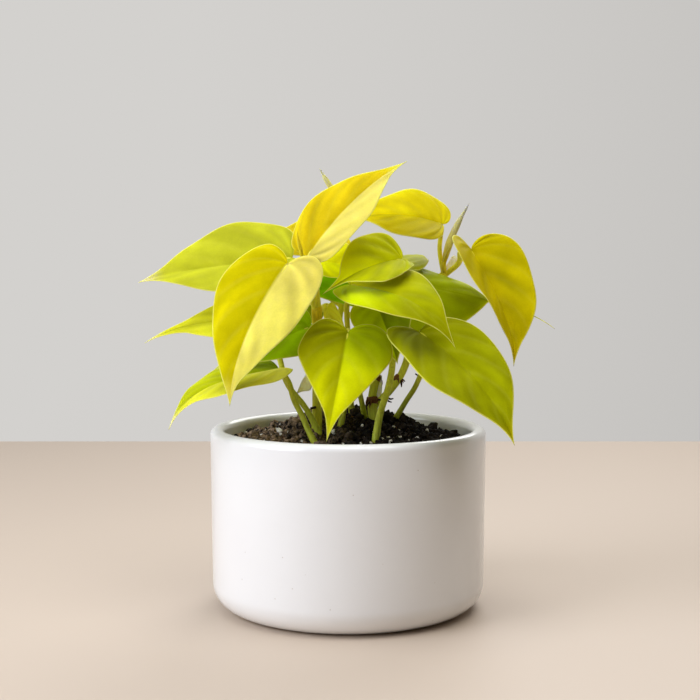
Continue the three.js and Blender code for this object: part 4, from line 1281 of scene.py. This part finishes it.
def collar(stem, place):
    """A short swollen ring round the stem at a node."""
    points = [Vector(p) for p in stem["through"]]
    near = min(range(len(points) - 1), key=lambda i: abs((points[i] + points[i + 1]).z / 2 - place[2]))
    way = (points[near + 1] - points[near]).normalized() * COLLAR_HALF
    middle, radius = Vector(place), stem["radius"]
    lip = radius * COLLAR_LIP
    return [(middle - way, lip), (middle, radius * COLLAR_SWELL), (middle + way, lip)]


collars = []
for stem in STEMS:
    routes = [rooted([(Vector(p), stem["radius"]) for p in stem["through"]])]
    routes += [[(Vector(p), b["radius"]) for p in b["through"]] for b in stem.get("branches", [])]
    routes += [stalk_route(stalk) for stalk in stem["stalks"]]
    green_tubes(stem["name"] + "_green", routes, stem.get("finish", stalk_skin), stem["name"])
    collars += [collar(stem, place) for place in stem.get("nodes", [])]
for stalk in STALKS:
    green_tubes(stalk["name"] + "_green", [rooted(stalk_route(stalk))], stalk_skin, stalk["name"])
green_tubes("stem_collars", collars, node_cork)
print("collars:", len(collars))

# %% [markdown]
# Small dark roots sit at the nodes, each only a few millimetres long, and dry brown threads hang round them:
# what is left of old leaf stalks. Each of them is one more tube. The threads repeat, so they are drawn at
# random round a node.

# %% Rootlets and dry threads
ROOTLETS = [
    [([22.8, -4.4, 104.4], 0.55), ([24.0, -5.4, 102.6], 0.45), ([24.0, -5.8, 100.4], 0.25)],
    [([23.2, -4.2, 103.8], 0.45), ([24.9, -5.2, 103.6], 0.35), ([25.6, -5.6, 102.8], 0.2)],
    [([17.2, -6.2, 96.4], 0.5), ([18.8, -7.2, 95.2], 0.45), ([20.4, -7.4, 95.4], 0.25)],
    [([16.9, -6.2, 95.8], 0.5), ([18.2, -7.4, 94.2], 0.4), ([19.6, -7.8, 93.8], 0.22)],
    [([30.2, -6.8, 106.5], 0.35), ([32.0, -7.4, 105.6], 0.28), ([33.0, -7.6, 105.9], 0.15)],
    [([10.2, -6.2, 94], 0.5), ([8.8, -7.0, 92.6], 0.4), ([8.2, -7.4, 90.6], 0.25)],
    [([13.4, -6.0, 94.8], 0.5), ([15.2, -6.6, 94.4], 0.35), ([16.0, -6.8, 93.4], 0.2)],
    [([-14.6, -11.0, 92], 0.6), ([-16.0, -11.8, 91.6], 0.5), ([-16.8, -12.0, 91.8], 0.3)],
]
THREADED_NODES = [
    dict(middle=(11.3, -4, 94.5), radius=2.3, count=34), dict(middle=(12.6, -2, 104), radius=2.3, count=18),
    dict(middle=(22.4, -3.9, 104.1), radius=1.6, count=14),
]
THREAD_HEIGHTS, THREAD_OUT, THREAD_DROP = (-1, 1.4), (0.3, 1.3), (0.8, 3)
THREAD_BOW = 0.25
THREAD_RADII = (0.35, 0.3, 0.1)


def node_threads(node):
    """Short dry threads that hang out round a node."""
    threads = []
    for _ in range(node["count"]):
        turn = random.uniform(0, math.tau)
        out = Vector((math.cos(turn), math.sin(turn), 0))
        up = Vector((0, 0, random.uniform(*THREAD_HEIGHTS)))
        start = Vector(node["middle"]) + out * node["radius"] + up
        end = start + out * random.uniform(*THREAD_OUT) - Vector((0, 0, random.uniform(*THREAD_DROP)))
        places = (start, start.lerp(end, 0.5) + out * THREAD_BOW, end)
        threads.append(list(zip(places, THREAD_RADII)))
    return threads


green_tubes("young_roots", ROOTLETS, root_dark)
green_tubes("node_threads", [thread for node in THREADED_NODES for thread in node_threads(node)], node_cork)

# %% [markdown]
# A pale stub of a new shoot stands at the top of the main stem, beside the neck of the rolled leaf. A golden
# spike lies before the foot of the top leaf. One node of the branch is corky, and the upper node of the left
# stem is amber.

# %% Young shoots and coloured nodes
SHOOTS = [
    dict(
        name="shoot_stub", finish=shoot_cream, through=[
            ([45.6, 25.6, 151], 1.4), ([48, 26, 154], 1.85), ([49.8, 26, 157.4], 1.8),
            ([50.5, 26, 159], 1.1)]),
    dict(
        name="spear_neck", finish=shoot_gold, through=[
            ([45.6, 25.2, 150.8], 1.1), ([44.9, 24.2, 153.5], 1.15), ([44.9, 23.6, 156.6], 1.1)]),
    dict(
        name="top_spike", finish=shoot_gold, through=[
            ([-19.8, -26.5, 158.5], 0.8), ([-20.6, -28.6, 163], 0.85), ([-21.5, -30, 167], 0.5),
            ([-21.9, -31, 170], 0.08)]),
    dict(
        name="branch_node", finish=node_cork, through=[
            ([21.4, -4.2, 102.6], 1.72), ([22.4, -3.9, 104.1], 1.95), ([23.2, -3.6, 105.3], 1.72)]),
    dict(
        name="amber_node", finish=node_amber, through=[
            ([-14.3, -6.5, 138], 2.15), ([-14, -7, 134], 2.5), ([-14, -6.7, 129], 2.15)]),
]
for shoot in SHOOTS:
    green_tubes(shoot["name"], [shoot["through"]], shoot["finish"])

# %% [markdown]
# ## Rolled leaves
# A new leaf comes out rolled like a sheet of paper round a pencil. The sheet here is a grid: across it, the
# angle runs past a full turn while the radius grows a little, so the free edge lies over the roll; along
# it, the roll swells and then draws out to its point. It thins towards its ends, where the layers lie close.

# %% Make the rolled leaves
ROLL_PROFILE = [(0.0, 0.55), (0.15, 0.85), (0.3, 1.0), (0.6, 0.8), (0.88, 0.35), (1.0, 0.03)]
ROLL_TURNS = 1.35
ROLL_START, ROLL_GROWTH = 0.78, 0.2
ROLL_THICKNESS, ROLL_THIN = 0.2, 0.05
ROLL_FOOT_GOLD = "#D8B808"
ROLL_POINT_CREAM = "#FFF8B0"
ROLL_ROWS = 40
ROLL_COLUMNS = 44
ROLLED = [
    dict(
        name="rolled_leaf_right", foot=[44.9, 23.6, 156], point=[57, 28, 184], radius=1.9, twist=0.6, bow=1.5,
    ),
    dict(
        name="rolled_leaf_top", foot=[-4, 6, 185.2], point=[-13, 8, 199], radius=1.5, twist=-0.4, bow=0.4,
    ),
]


def roll_radius(share):
    """The roll's radius at a share of its length, as a share of its largest."""
    for (low, r_low), (high, r_high) in zip(ROLL_PROFILE, ROLL_PROFILE[1:]):
        if share <= high:
            return r_low + (r_high - r_low) * ease(low, high, share)
    return ROLL_PROFILE[-1][1]


for rolled in ROLLED:
    foot_at, point_at = Vector(rolled["foot"]), Vector(rolled["point"])
    axis = point_at - foot_at
    turn = axis.to_track_quat("Z", "Y")
    sheet, (tints, _, edges, weights) = new_sheet(ROLL_COLUMNS, ROLL_ROWS)
    for point in sheet.verts:
        around, share = (point.co.x + 1) / 2, (point.co.y + 1) / 2
        angle = math.tau * (ROLL_TURNS * around + rolled["twist"] * share)
        radius = rolled["radius"] * roll_radius(share) * (ROLL_START + ROLL_GROWTH * around)
        local = Vector((radius * math.cos(angle), radius * math.sin(angle), axis.length * share))
        bow = Vector((-rolled["bow"] * math.sin(math.pi * share), 0, 0))
        point.co = (foot_at + turn @ local + bow) * MM
        point[tints] = mixed(linear(ROLL_FOOT_GOLD), linear(ROLL_POINT_CREAM), share)
        point[edges] = (1 - around) * radius * math.tau * ROLL_TURNS
        point[weights][0] = roll_radius(share)
    made = piece(rolled["name"] + "_sheet", sheet, [leaf_upper], rolled["name"])
    thicken(made, ROLL_THICKNESS, ROLL_THIN)

# %% [markdown]
# ## Dried sheath
# Each new leaf is wrapped in a sheath that dries to beige paper and stays at the node. It is a small curled
# scale with a ragged end, so the functions that bend a leaf blade bend it too, on a coarser grid.

# %% Make the dried sheaths
SHEATH_THICKNESS = 0.25
CRUMPLES = 2.5
SHEATH_COLUMNS, SHEATH_ROWS = 12, 22
SHEATHS = [
    dict(
        name="dried_sheath_paper", node="dried_sheath", base=[-17.4, -8.7, 106.5], tip=[-23.4, -8.4, 97.2],
        halves=[1.2, 4.5], faces=[0, 20], arch=[0.5, 0.5], full=[0, 0.3], lobes=[0, 0], widest=[0.3, 0.5],
        drip=0.8, ragged=0.35,
    ),
    dict(
        name="node_scale_side", node=None, base=[14.4, -5.2, 95], tip=[15, -4.2, 105.5], halves=[1.4, 1.8],
        faces=[40, 0], arch=[0.8, 0.5], fold=-35, curl=-20, ragged=0.4,
    ),
]
for sheath in SHEATHS:
    shape = blade_shape(USUAL_BLADE | sheath)
    sheet = bmesh.new()
    bmesh.ops.create_grid(sheet, x_segments=SHEATH_COLUMNS, y_segments=SHEATH_ROWS, size=1)
    for point in sheet.verts:
        here = on_blade(shape, (1 - point.co.y) / 2, point.co.x)
        crumple = sheath["ragged"] * noise.noise(point.co * CRUMPLES + Vector(sheath["base"]))
        point.co = (here["spot"] + here["normal"] * crumple) * MM
    bmesh.ops.remove_doubles(sheet, verts=sheet.verts, dist=SHEET_MERGE)
    thicken(piece(sheath["name"], sheet, [dry_paper], sheath["node"]), SHEATH_THICKNESS)
